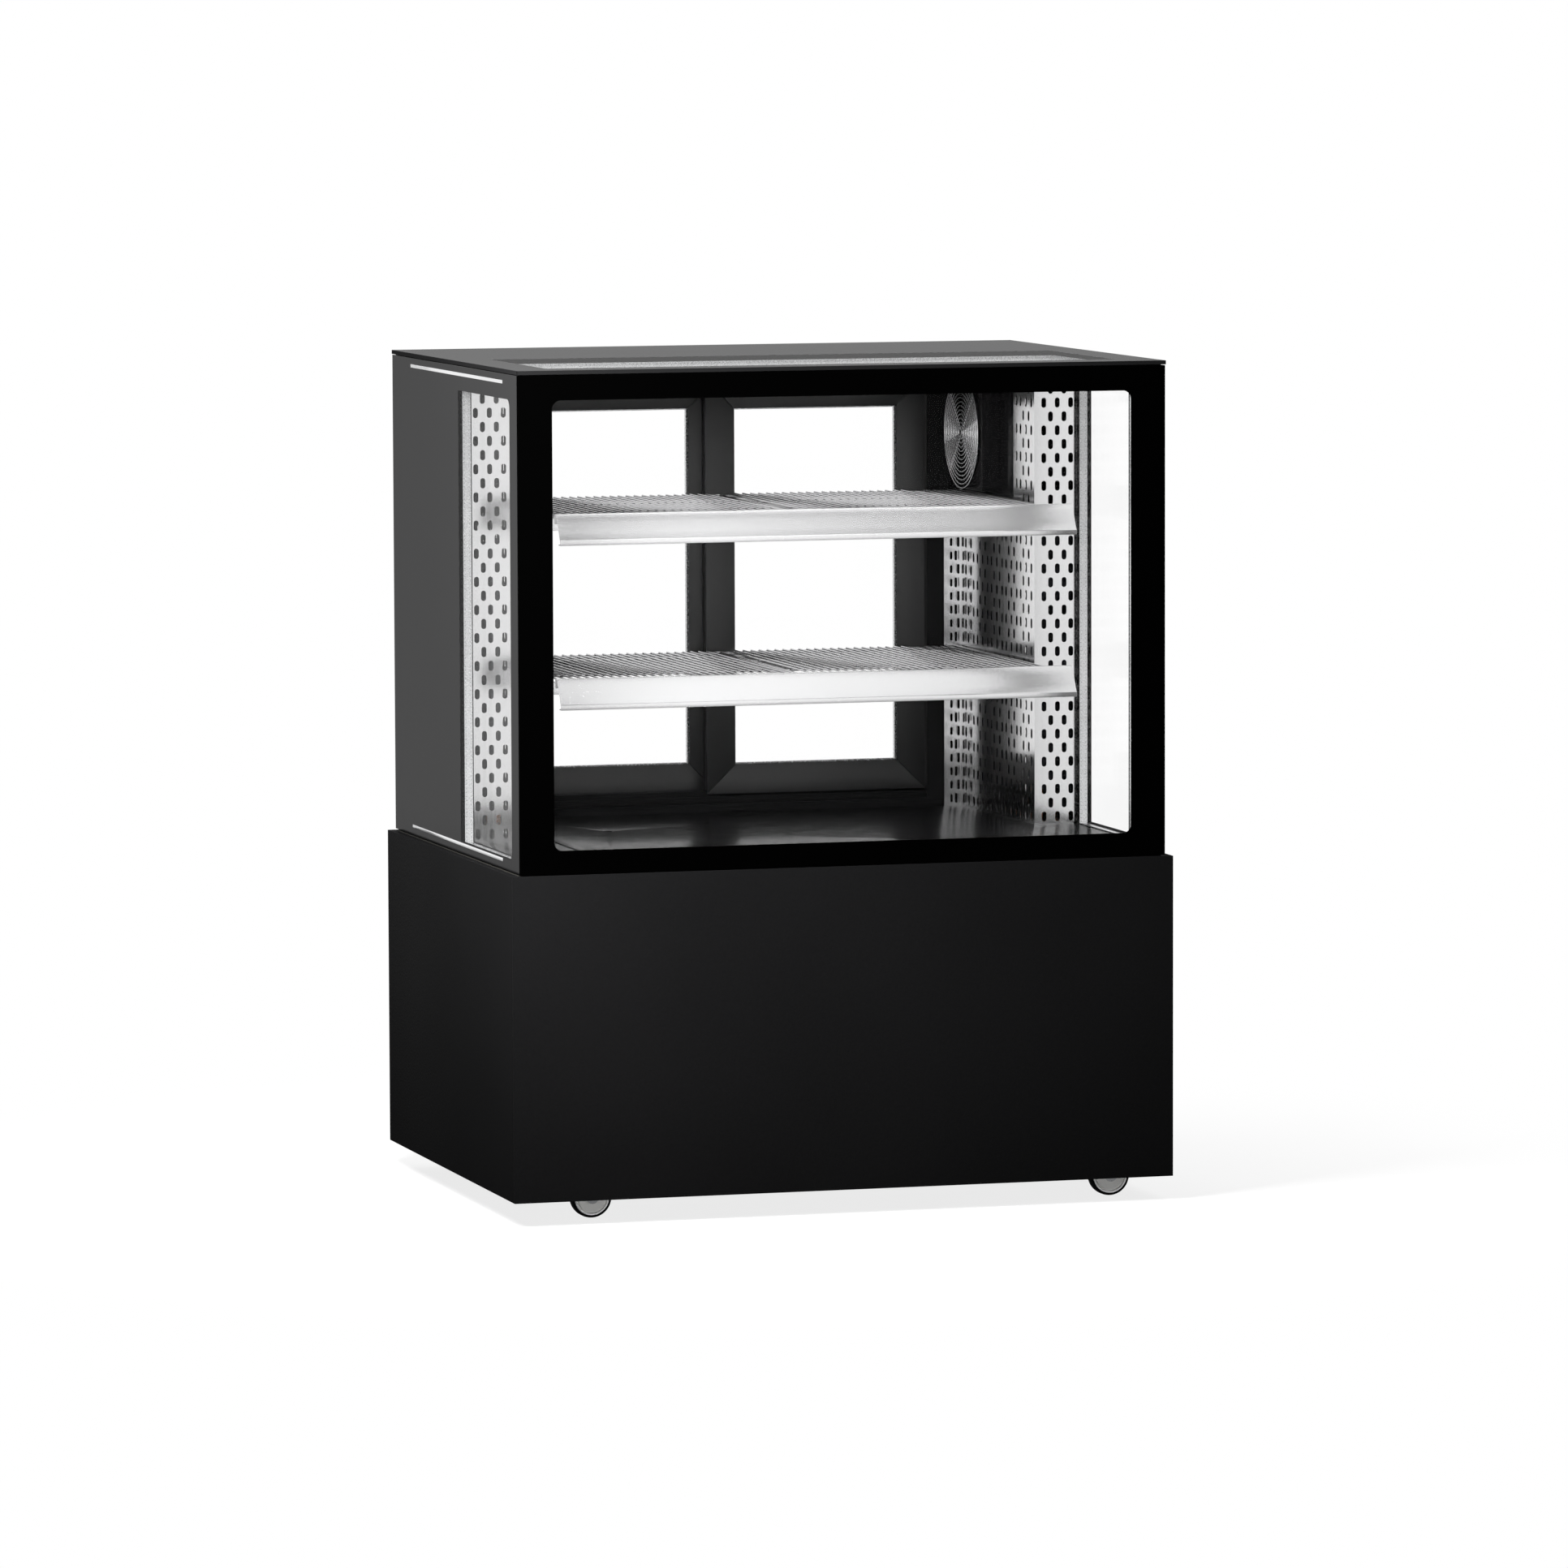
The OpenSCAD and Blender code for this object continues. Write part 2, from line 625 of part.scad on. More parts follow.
module light_switch() {
    w = switch_w - 5;
    tip = switch_h / 2 - 4;
    color([0.7, 0.1, 0.08]) translate([switch_x - w / 2, rocker_y, control_z]) rotate([rocker_rest, 0, 0]) {
        rotate([90, 0, 90]) linear_extrude(w)
            polygon([[-8, -4], [-8, 4], [9, tip], [11, tip], [9, 0], [11, -tip], [9, -tip]]);
        translate([-0.4, 0, 0]) rotate([0, 90, 0]) cylinder(h = w + 0.8, d = 4);
    }
}

gland_x = -250;
gland_y = from_rear(70);
gland_hole_r = 10.2;

module cable_gland() {
    color([0.1, 0.1, 0.1]) translate([gland_x, gland_y, 0]) difference() {
        union() {
            translate([0, 0, z_pan - 6]) cylinder(h = 6, d = 27, $fn = 6);
            translate([0, 0, z_pan - 22]) cylinder(h = 16 + eps, r = 11.5);
            translate([0, 0, z_pan - eps]) cylinder(h = chassis_t + 10, r = gland_hole_r - 0.2);
            translate([0, 0, z_floor + 0.1]) cylinder(h = 5, d = 27, $fn = 6);
        }
        translate([0, 0, z_pan - 30]) cylinder(h = 60, r = 4.2);
    }
}

// ---------- casters ----------

caster_x = x_case - caster_inset_x;
caster_y = case_d / 2 - caster_inset_y;
plate_t = 3;
plate_x = 70;
plate_y = 55;
axle_d = 6;
wheel_r = wheel_d / 2;
tyre_t = 3.5;
leg_t = 2;
leg_gap = 1.2;
crown_z = wheel_d + 4;
fork_half = wheel_w / 2 + leg_gap;
stem_d = 10;

module at_caster(sx, sy) translate([sx * caster_x, sy * caster_y, 0]) children();

module caster_plates() {
    color([0.62, 0.63, 0.65]) for (sx = [-1, 1], sy = [-1, 1]) at_caster(sx, sy) {
        difference() {
            translate([-plate_x / 2, -plate_y / 2, z_pan - plate_t]) cube([plate_x, plate_y, plate_t]);
            for (hx = [-1, 1], hy = [-1, 1])
                translate([hx * (plate_x / 2 - 8), hy * (plate_y / 2 - 8), z_pan - plate_t - 1])
                    cylinder(h = plate_t + 2, d = 6.5);
        }
        translate([0, 0, crown_z + 6.4]) cylinder(h = z_pan - plate_t - crown_z - 6.4 + eps, d = 40);
        translate([0, 0, crown_z - 3]) cylinder(h = z_pan - plate_t - crown_z + 3 + eps, d = stem_d);
        translate([0, 0, crown_z - 3]) cylinder(h = 2.5, d = stem_d + 6);
    }
}

module caster_fork() {
    color([0.66, 0.67, 0.69]) {
        difference() {
            union() {
                translate([0, 0, crown_z]) cylinder(h = leg_t, d = 44);
                translate([0, -fork_half - leg_t, crown_z]) cube([trail, 2 * (fork_half + leg_t), leg_t]);
                translate([0, 0, crown_z + leg_t - eps]) cylinder(h = 4, d = 38);
            }
            translate([0, 0, crown_z - 1]) cylinder(h = 12, d = stem_d + 0.1);
        }
        for (s = [-1, 1]) fork_leg(s);
        translate([trail, 0, wheel_r]) rotate([90, 0, 0])
            cylinder(h = 2 * fork_half + 8, d = axle_d, center = true);
        for (s = [-1, 1]) translate([trail, s * (fork_half + leg_t + 2), wheel_r]) rotate([90, 0, 0])
            cylinder(h = 4 + eps, d = 11, center = true, $fn = 6);
    }
}

// One side of the fork: from the crown down and back to the axle
module fork_leg(s) {
    y = s > 0 ? fork_half + leg_t : -fork_half;
    translate([0, y, 0]) rotate([90, 0, 0]) linear_extrude(leg_t) {
        polygon([[-16, crown_z + leg_t], [trail + 2, crown_z + leg_t], [trail + 9, wheel_r + 3],
                 [trail - 8, wheel_r - 4]]);
        translate([trail, wheel_r]) circle(r = 9);
    }
}

// Ears and pin of the brake pedal, on the trailing side of a front fork
module brake_ears() {
    color([0.66, 0.67, 0.69]) {
        for (y = [fork_half + leg_t, -fork_half]) translate([0, y, 0])
            rotate([90, 0, 0]) linear_extrude(leg_t)
                polygon([[trail - 8, crown_z + leg_t], [pedal_x + 5, pedal_z + 7],
                         [pedal_x + 6, pedal_z - 5], [trail + 6, wheel_r + 12]]);
        translate([pedal_x, 0, pedal_z]) rotate([90, 0, 0])
            cylinder(h = 2 * (fork_half + leg_t), d = pedal_pin_d, center = true);
    }
}

module braked_fork() {
    union() {
        caster_fork();
        brake_ears();
    }
}

module caster_wheel() {
    color([0.7, 0.7, 0.71]) translate([trail, 0, wheel_r]) rotate([90, 0, 0]) difference() {
        translate([0, 0, -wheel_w / 2]) cylinder(h = wheel_w, r = wheel_r - tyre_t, $fn = 72);
        translate([0, 0, -wheel_w]) cylinder(h = 2 * wheel_w, r = axle_d / 2 + 0.05);
        for (s = [-1, 1]) translate([0, 0, s * (wheel_w / 2 - 1.2) - (s > 0 ? 0 : 1.2)]) difference() {
            cylinder(h = 2.4, r = wheel_r - tyre_t - 3.5, center = false, $fn = 72);
            translate([0, 0, -1]) cylinder(h = 5, r = 9);
        }
    }
}

module caster_tyre() {
    color([0.06, 0.06, 0.06]) translate([trail, 0, wheel_r]) rotate([90, 0, 0]) rotate_extrude($fn = 72)
        translate([wheel_r - tyre_t, 0]) difference() {
            translate([0, -wheel_w / 2]) square([tyre_t, wheel_w]);
            for (s = [-1, 1]) translate([tyre_t, s * wheel_w / 2]) rotate(45) square(1.6, center = true);
        }
}

pedal_x = trail + 24;                       // hinge of the brake pedal
pedal_z = crown_z - 6;
pedal_pin_d = 4;
pedal_w = 2 * fork_half - 1;
pedal_reach = 22;
shoe_reach = 6.3;

module brake_pedal() {
    color([0.12, 0.12, 0.13]) translate([pedal_x, 0, pedal_z]) rotate([90, 0, 0]) difference() {
        union() {
            cylinder(h = pedal_w, r = 4.2, center = true);
            linear_extrude(pedal_w, center = true)
                polygon([[-3.5, 2], [0, 4], [6, 3], [pedal_reach - 2, -5], [pedal_reach, -7],
                         [pedal_reach - 3, -8], [3, -3], [1.5, -shoe_reach], [-2.5, -shoe_reach + 0.4]]);
        }
        cylinder(h = pedal_w + 2, d = pedal_pin_d + 0.1, center = true);
    }
}

// ---------- glass display ----------

frame_wall = 3;
frame_r = 6;                                // rounded inner corner of a post

module glass_frame() {
    color([0.1, 0.1, 0.11]) {
        mirror_pair() {
            translate([0, 0, z_sill]) linear_extrude(z_roof - z_sill) difference() {
                union() {
                    translate([frame_in_x, y_in]) square([x_in - frame_in_x, frame_in_y - frame_r - y_in]);
                    translate([frame_in_x + frame_r, y_in])
                        square([x_in - frame_in_x - frame_r, frame_in_y - y_in]);
                    translate([frame_in_x + frame_r, frame_in_y - frame_r]) circle(r = frame_r);
                }
                translate([frame_in_x + frame_wall + 3, y_in + frame_wall])
                    square([x_in - frame_in_x - 2 * frame_wall - 3, frame_in_y - y_in - 2 * frame_wall - 3]);
            }
            block(frame_in_x, x_in, frame_in_y - eps, y_frame0, z_sill, z_rail0);
            block(frame_in_x, x_in, frame_in_y - eps, y_frame0, z_frame1, z_roof);
        }
        for (z = [[z_sill, z_frame0], [z_frame1, z_roof]])
            block(-frame_in_x - eps, frame_in_x + eps, y_in, frame_in_y, z[0], z[1]);
    }
}

module front_glass() {
    color([0.3, 0.35, 0.35, 0.4]) {
        block(-x_out, x_out, y_out, y_in, z_pane, z_roof - pane_gap);
        block(-frame_in_x + gap, frame_in_x - gap, y_cav, y_liner, z_frame0 + gap, z_frame1 - gap);
    }
}

module side_glass() {
    color([0.3, 0.35, 0.35, 0.4]) {
        block(x_in, x_out, y_in + pane_gap, y_frame1, z_pane, z_roof - pane_gap);
        block(x_liner, x_cav, frame_in_y + gap, y_win1 + lap - gap, z_rail0 + gap, z_frame1 - gap);
    }
}

module left_glass() mirror([1, 0, 0]) side_glass();
module right_glass() side_glass();

module top_glass() {
    color([0.3, 0.35, 0.35, 0.4]) {
        block(-x_out - 1, x_out + 1, y_out - 1, y_frame1, z_roof, z_top);
        block(-frame_in_x + gap, frame_in_x - gap, frame_in_y + gap, y_roof1 + lap - gap,
              z_roof - cavity - inner_t, z_roof - cavity);
    }
}

// A square spacer ring round a window; its inner edge lies bar_in outside the window
module spacer_ring(w, h, t) {
    o = bar_in + bar_t;
    linear_extrude(t) difference() {
        translate([-o, -o]) square([w + 2 * o, h + 2 * o]);
        translate([-bar_in, -bar_in]) square([w + 2 * bar_in, h + 2 * bar_in]);
    }
}

module spacer_bars() {
    color([0.75, 0.76, 0.78]) {
        translate([-x_win, y_cav, z_win0]) rotate([90, 0, 0]) spacer_ring(2 * x_win, z_win1 - z_win0, cavity);
        mirror_pair() translate([x_cav, y_win0, z_side0]) rotate([90, 0, 90])
            spacer_ring(side_win_d - bar_in, z_win1 - z_side0, cavity);
        translate([-x_win, y_roof0, z_roof - cavity]) spacer_ring(2 * x_win, roof_win_d, cavity);
    }
}

trim_lift = 15.5;                           // middle of the lower strips over the base
trim_drop = 13;                             // middle of the upper strips under the top pane
trim_t = 0.6;
trim_low_y = from_front(100);
trim_high_y = from_front(86);

module side_trims() {
    color([0.85, 0.85, 0.86]) mirror_pair() {
        block(x_out, x_out + trim_t, trim_low_y, trim_low_y + trim_len - 8,
              z_sill + trim_lift - trim_h / 2, z_sill + trim_lift + trim_h / 2);
        block(x_out, x_out + trim_t, trim_high_y, trim_high_y + trim_len,
              z_roof - trim_drop - trim_h / 2, z_roof - trim_drop + trim_h / 2);
    }
}

module insulation_panels() {
    color([0.1, 0.1, 0.11]) {
        mirror_pair() block(x_column + gap, x_in, y_win1 + lap + gap, y_frame0, z_rail0, z_frame1);
        block(-frame_in_x, frame_in_x, y_roof1 + lap, y_frame0, z_ceiling, z_roof);
    }
}

light_w = 860;
light_h = 9;

// A light channel under the front top rail, with its diffuser set into the open side
module led_light() {
    y0 = y_liner + 1;
    d = frame_in_y - y0;
    translate([-light_w / 2, y0, z_frame1 - light_h]) rotate([90, 0, 90]) {
        color([0.7, 0.7, 0.72]) linear_extrude(light_w) difference() {
            square([d, light_h]);
            translate([1.5, -1]) square([d - 3, light_h - 1]);
        }
        color([0.95, 0.95, 0.95]) translate([0, 0, 1]) linear_extrude(light_w - 2)
            translate([1.5 + gap, 0.5]) square([d - 3 - 2 * gap, 3]);
    }
}

tray_t = 2;
tray_lip = 8;
rear_lip_t = 1.5;
raised_x = 356;                             // the raised middle ends beside the ducts
raised_y = 14;                              // and this far from the front and rear edges
raised_h = 1.5;

module deck_tray() {
    x1 = x_liner - gap;
    y0 = frame_in_y + gap;
    y1 = y_frame0 - gap;
    color([0.05, 0.05, 0.06]) difference() {
        union() {
            block(-x1, x1, y0, y1, z_deck - tray_t, z_deck);
            block(-x1, x1, y0, y0 + tray_t, z_deck - eps, z_deck + tray_lip);
            block(-x1, x1, y1 - rear_lip_t, y1, z_deck - eps, z_deck + tray_lip);
            translate([-raised_x, y0 + raised_y, z_deck - eps]) linear_extrude(raised_h + eps)
                rounded_rect(2 * raised_x, y1 - y0 - 2 * raised_y, 20);
        }
        for (s = [-1, 1], at = risers) translate([s * at[0], at[1], z_deck - 5])
            cylinder(h = 10, d = pipe_d + 2 * gap);
        translate([drain_x, drain_y, z_deck - 5]) cylinder(h = 10, d = drain_d - 4);
    }
}

// ---------- rear frame and sliding doors ----------

opening_x = door_open_w / 2;
door_z0 = z_deck + 27;                      // lower edge of a door
door_z1 = z_roof - 44;                      // upper edge of a door
open_z0 = z_deck + 12;
open_z1 = z_roof - 29;
jamb_gap = 2;
door_x0 = -door_overlap / 2;                // the right-hand door reaches past the middle
door_x1 = opening_x - jamb_gap;
door_w = door_x1 - door_x0;
door_h = door_z1 - door_z0;
y_inner_door = y_frame0 + 6;
y_outer_door = y_inner_door + door_t + 4;
lip_t = 2;
rib_t = 3;
rib_top = door_z0 + 4;
track_t = 3;
mitre_gap = 0.15;

module rear_frame() {
    color([0.1, 0.1, 0.11])
        translate([0, y_frame1, 0]) rotate([90, 0, 0]) linear_extrude(frame_t) difference() {
            translate([-x_in, z_sill]) square([2 * x_in, z_roof - z_sill]);
            translate([-opening_x, open_z0]) square([2 * opening_x, open_z1 - open_z0]);
        }
}

// Two runners below and a three-lipped channel above
module door_tracks() {
    y_lips = [y_inner_door - 1 - lip_t, y_inner_door + door_t + 1, y_outer_door + door_t + 1];
    color([0.16, 0.16, 0.17]) {
        block(-opening_x, opening_x, y_lips[0], y_lips[2] + lip_t, open_z0, open_z0 + track_t);
        for (y = [y_lips[0], y_lips[2]])
            block(-opening_x, opening_x, y, y + lip_t, open_z0, door_z0 - 4);
        for (y = [y_inner_door, y_outer_door])
            block(-opening_x, opening_x, y + (door_t - rib_t) / 2, y + (door_t + rib_t) / 2,
                  open_z0, rib_top);
        block(-opening_x, opening_x, y_lips[0], y_lips[2] + lip_t, open_z1 - track_t, open_z1);
        for (y = y_lips)
            block(-opening_x, opening_x, y, y + lip_t, door_z1 - 6, open_z1 - track_t + eps);
    }
}

// One bar of a door frame along +X with mitred ends, outer edge on the X axis
module mitred_bar(len) {
    polygon([[mitre_gap, 0], [len - mitre_gap, 0], [len - door_bar - mitre_gap, door_bar],
             [door_bar + mitre_gap, door_bar]]);
}

pocket = 8;                                 // the door glass sits this deep in its profile
unit_t = 16;                                // thickness of the double pane of a door
unit_y = (door_t - unit_t) / 2;
door_pane_t = 4;
pull_w = 22;
pull_depth = 11;
pull_lip = 2;

// The right-hand door leaf in its own track plane; the left-hand one is its mirror image
module door_frame(y0) {
    z_pull = (door_z0 + door_z1) / 2;
    color([0.12, 0.12, 0.13]) difference() {
        translate([door_x0, y0 + door_t, door_z0]) rotate([90, 0, 0]) linear_extrude(door_t) {
            mitred_bar(door_w);
            translate([door_w, 0]) rotate(90) mitred_bar(door_h);
            translate([door_w, door_h]) rotate(180) mitred_bar(door_w);
            translate([0, door_h]) rotate(270) mitred_bar(door_h);
        }
        block(door_x0 + door_bar - pocket - gap, door_x1 - door_bar + pocket + gap,
              y0 + unit_y - gap, y0 + unit_y + unit_t + gap,
              door_z0 + door_bar - pocket - gap, door_z1 - door_bar + pocket + gap);
        block(door_x0 - 1, door_x1 + 1, y0 + (door_t - rib_t) / 2 - 0.5, y0 + (door_t + rib_t) / 2 + 0.5,
              door_z0 - 1, rib_top + gap);
        translate([door_x1 - door_bar / 2 + 3, y0 + door_t + 1, z_pull]) rotate([90, 0, 0])
            linear_extrude(pull_depth + 1 + gap) obround(pull_w + 2 * gap, pull_len + 2 * gap);
    }
}

// An upright outline with round ends
module obround(w, h) {
    square([w, h - w], center = true);
    for (s = [-1, 1]) translate([0, s * (h - w) / 2]) circle(d = w);
}

module door_glass(y0) {
    x0 = door_x0 + door_bar - pocket;
    x1 = door_x1 - door_bar + pocket;
    z0 = door_z0 + door_bar - pocket;
    z1 = door_z1 - door_bar + pocket;
    y1 = y0 + unit_y;
    color([0.4, 0.45, 0.45, 0.35]) {
        block(x0, x1, y1, y1 + door_pane_t, z0, z1);
        block(x0, x1, y1 + unit_t - door_pane_t, y1 + unit_t, z0, z1);
        frame_xz(x0, x1, z0, z1, pocket + bar_in, y1 + door_pane_t, unit_t - 2 * door_pane_t);
    }
}

// A cup let into the outer stile, with a thin rim round it
module door_pull(y0) {
    translate([door_x1 - door_bar / 2 + 3, y0 + door_t, (door_z0 + door_z1) / 2]) rotate([90, 0, 0])
        color([0.5, 0.5, 0.52]) difference() {
            union() {
                translate([0, 0, -1]) linear_extrude(pull_depth + 1) obround(pull_w, pull_len);
                translate([0, 0, -1]) linear_extrude(1)
                    obround(pull_w + 2 * pull_lip, pull_len + 2 * pull_lip);
            }
            translate([0, 0, -2]) linear_extrude(pull_depth) obround(pull_w - 4, pull_len - 4);
        }
}

module door_frame_right() door_frame(y_inner_door);
module door_frame_left() mirror([1, 0, 0]) door_frame(y_outer_door);
module door_glass_right() door_glass(y_inner_door);
module door_glass_left() mirror([1, 0, 0]) door_glass(y_outer_door);
module door_pull_right() door_pull(y_inner_door);
module door_pull_left() mirror([1, 0, 0]) door_pull(y_outer_door);

// ---------- air ducts ----------

duct_z0 = z_deck;
duct_z1 = z_ceiling;
duct_h = duct_z1 - duct_z0;
wall_run = y_strip - y_column;              // depth of the side wall, square to the front
wall_len = sqrt(wall_run * wall_run + splay * splay);
lean = atan(splay / wall_run);
x_strip = x_duct - splay;
strip_w = 27;
strip_fold = 11;
strip_slot_w = 4;
row_foot = 10.8;                            // lowest row of three over the display floor
first_group = 37;                           // middle of the first group behind the front corner
fan_box = fan_d + 22;                       // side of the square fan housing
fan_room = 9;                               // room over the fan housing
fan_y = y_strip - 1 - fan_box / 2;
fan_z = duct_z1 - fan_room - fan_box / 2;
panel_low = 5;                              // the smooth panel reaches this far under the fan housing
blank_u = 92;                               // the wall beside the fan housing ends here
blank_z = fan_z - fan_box / 2 - panel_low;
groups = floor((wall_len - first_group - wall_pitch / 2) / group_pitch) + 1;

function wall_x(y) = x_duct - (y - y_column) * splay / wall_run;

module slot() obround(slot_w, slot_l);

// True where a slot at u along the wall and v up it has sheet all round
function in_wall(u, v) = u > slot_w && u < wall_len - slot_w && v < duct_h - slot_l
    && (u < blank_u - slot_w || v < blank_z - duct_z0 - slot_l);

module column_slots() {
    for (row = [0 : floor((duct_h - slot_l - row_foot) / row_pitch)]) {
        v = row_foot + row * row_pitch;
        for (i = [-1 : 1]) translate([column_w / 2 + i * column_pitch, v]) slot();
        if (v + row_pitch / 2 < duct_h - slot_l)
            for (i = [-0.5, 0.5]) translate([column_w / 2 + i * column_pitch, v + row_pitch / 2]) slot();
    }
}

module wall_slots() {
    for (g = [0 : groups - 1], row = [0 : floor((duct_h - row_foot) / row_pitch)]) {
        u = first_group + g * group_pitch;
        v = row_foot + row * row_pitch;
        for (i = [-1 : 1]) if (in_wall(u + i * wall_pitch, v)) translate([u + i * wall_pitch, v]) slot();
        for (i = [-0.5, 0.5]) if (in_wall(u + i * wall_pitch, v + row_pitch / 2))
            translate([u + i * wall_pitch, v + row_pitch / 2]) slot();
    }
}

module duct() {
    strip_h = blank_z - duct_z0;
    color([0.8, 0.8, 0.81]) {
        translate([x_duct, y_column + duct_t, duct_z0]) rotate([90, 0, 0]) linear_extrude(duct_t)
            difference() {
                square([column_w, duct_h]);
                column_slots();
            }
        block(x_duct, x_column, y_column, y_column + 22, duct_z1 - duct_t, duct_z1);
        translate([x_duct, y_column, duct_z0]) rotate([90, 0, 90 + lean]) linear_extrude(duct_t)
            difference() {
                square([wall_len, duct_h]);
                translate([blank_u, strip_h]) square([wall_len, duct_h]);
                wall_slots();
            }
        // rear return in two folded steps, each with its own slots
        translate([x_strip - strip_fold, y_strip, duct_z0]) rotate([90, 0, 0]) linear_extrude(duct_t)
            difference() {
                square([strip_fold + duct_t, strip_h]);
                for (row = [0 : floor((strip_h - slot_l - row_foot) / row_pitch)], k = [0, 1])
                    translate([strip_fold * (0.3 + 0.36 * k), row_foot + (row + k / 2) * row_pitch])
                        obround(strip_slot_w, slot_l);
            }
        translate([x_strip - strip_w, y_strip - duct_t, duct_z0]) rotate([90, 0, 0]) linear_extrude(duct_t)
            difference() {
                square([strip_w - strip_fold + 1, strip_h]);
                for (v = [row_foot : row_pitch / 2 : strip_h - slot_l])
                    translate([strip_w - strip_fold - 4.5, v]) obround(strip_slot_w, slot_l - 3);
            }
    }
}

module left_duct() mirror([1, 0, 0]) duct();
module right_duct() duct();

// ---------- air fans ----------

fan_depth = 29;
x_fan0 = x_duct - 31;                       // display-side face of the housing
x_fan1 = x_fan0 + fan_depth;
panel_t = 1.5;

module fan_housing() {
    r = 8;
    translate([x_fan0, fan_y, fan_z]) rotate([90, 0, 90]) linear_extrude(fan_depth) difference() {
        translate([-fan_box / 2, -fan_box / 2]) rounded_rect(fan_box, fan_box, r);
        circle(d = fan_d + 4, $fn = 96);
    }
    // smooth panel round the housing, in the plane of the duct wall
    difference() {
        translate([x_duct, y_column, duct_z0]) rotate([90, 0, 90 + lean]) linear_extrude(panel_t)
            translate([blank_u + gap, blank_z - duct_z0 + gap])
                square([wall_len - blank_u - gap, duct_z1 - blank_z - gap]);
        block(x_fan0 - 10, x_fan1 + 10, fan_y - fan_box / 2 - gap, y_frame0,
              fan_z - fan_box / 2 - gap, fan_z + fan_box / 2 + gap);
    }
}

module fan_housings() color([0.05, 0.05, 0.055]) mirror_pair() fan_housing();

guard_d = fan_box - 2;
guard_wire = 1.8;
guard_stand = 7;

module fan_guard() {
    rings = floor((guard_d / 2 - 8) / ring_pitch);
    r = guard_d / 2 - guard_wire / 2;
    color([0.85, 0.85, 0.86]) translate([x_fan0 - guard_stand, fan_y, fan_z]) rotate([0, 90, 0]) {
        for (i = [0 : rings]) rotate_extrude($fn = 64)
            translate([r - i * ring_pitch, 0]) square(guard_wire, center = true);
        for (a = [45, 135]) rotate(a) {
            translate([0, 0, 1.2]) cube([2 * r, guard_wire, guard_wire], center = true);
            for (s = [-1, 1]) translate([s * r, 0, 0]) cylinder(h = guard_stand, d = guard_wire + 1.6);
        }
    }
}

module fan_guards() mirror_pair() fan_guard();

x_wheel = x_fan0 + 4;                       // room of the fan wheel behind the guard
wheel_depth = 18;
evap_motor_d = 56;
evap_hub_d = 40;

module fan_motor() {
    color([0.12, 0.12, 0.13]) translate([0, fan_y, fan_z]) {
        translate([x_wheel + wheel_depth + 3, 0, 0]) rotate([0, 90, 0]) cylinder(h = 30, d = evap_motor_d);
        translate([x_wheel + 2, 0, 0]) rotate([0, 90, 0]) cylinder(h = wheel_depth + 2, d = shaft_d);
        for (a = [45, 135]) rotate([a, 0, 0])
            translate([x_fan1 + 1.5, 0, 0]) cube([3, fan_d + 16, 8], center = true);
    }
}

module fan_motors() mirror_pair() fan_motor();

module air_fan() {
    color([0.16, 0.16, 0.17]) translate([x_wheel, fan_y, fan_z]) rotate([0, 90, 0])
        fan_wheel(fan_d - 2, fan_blades, evap_hub_d, wheel_depth, 24);
}

module fan_right() air_fan();
module fan_left() mirror([1, 0, 0]) air_fan();

// ---------- evaporators ----------

coil_x0 = x_duct + 10;
coil_t = 44;
coil_y0 = y_column + 45;
coil_y1 = y_strip - 30;
coil_z0 = z_deck + 30;
coil_z1 = fan_z - fan_box / 2 - 60;
tube_rows = 6;
tube_pitch = (coil_z1 - coil_z0 - 40) / (tube_rows - 1);
tube_x = [coil_x0 + 9, coil_x0 + 29];
coil_fin = 14;
riser_y = coil_y0 - 27;
suction_y = riser_y + line_gap;
risers = [[tube_x[1], riser_y], [tube_x[0], suction_y]];

function tube_z(i) = coil_z0 + 20 + i * tube_pitch;

module evaporator() {
    n = floor((coil_y1 - coil_y0 - 8) / coil_fin);
    color([0.6, 0.61, 0.63]) {
        for (i = [1 : n])
            block(coil_x0, coil_x0 + coil_t, coil_y0 + i * coil_fin, coil_y0 + i * coil_fin + 1,
                  coil_z0, coil_z1);
        for (y = [coil_y0, coil_y1 - 2]) block(coil_x0 - 2, x_column, y, y + 2, coil_z0 - 10, coil_z1 + 10);
        for (i = [0 : tube_rows - 1], x = tube_x)
            translate([x, coil_y1 + 2, tube_z(i)]) rotate([90, 0, 0])
                cylinder(h = coil_y1 + 2 - coil_y0, d = pipe_d, $fn = 20);
    }
}

module evaporators() mirror_pair() evaporator();

// ---------- shelves ----------

shelf_z = [z_deck + shelf_low, z_deck + shelf_low + shelf_step];
shelf_x = x_duct - 9;                       // half length of a shelf rail
arm_x = x_strip - 4;                        // outer face of a shelf frame
y_rail = from_front(shelf_front);
rail_d = 12;
rail_t = 1.6;
y_shelf0 = y_rail + rail_lean + rail_d + gap;
y_shelf1 = y_strip - 5;
arm_t = 2;
arm_h = 26;
rack_drop = 6.5;                            // the racks lie this far under the head of the rail
weld = 0.8;

function rim_z(z) = z - rack_drop - wire_d + weld - rim_d / 2;
function ledge_z(z) = rim_z(z) - rim_d / 2 - gap;

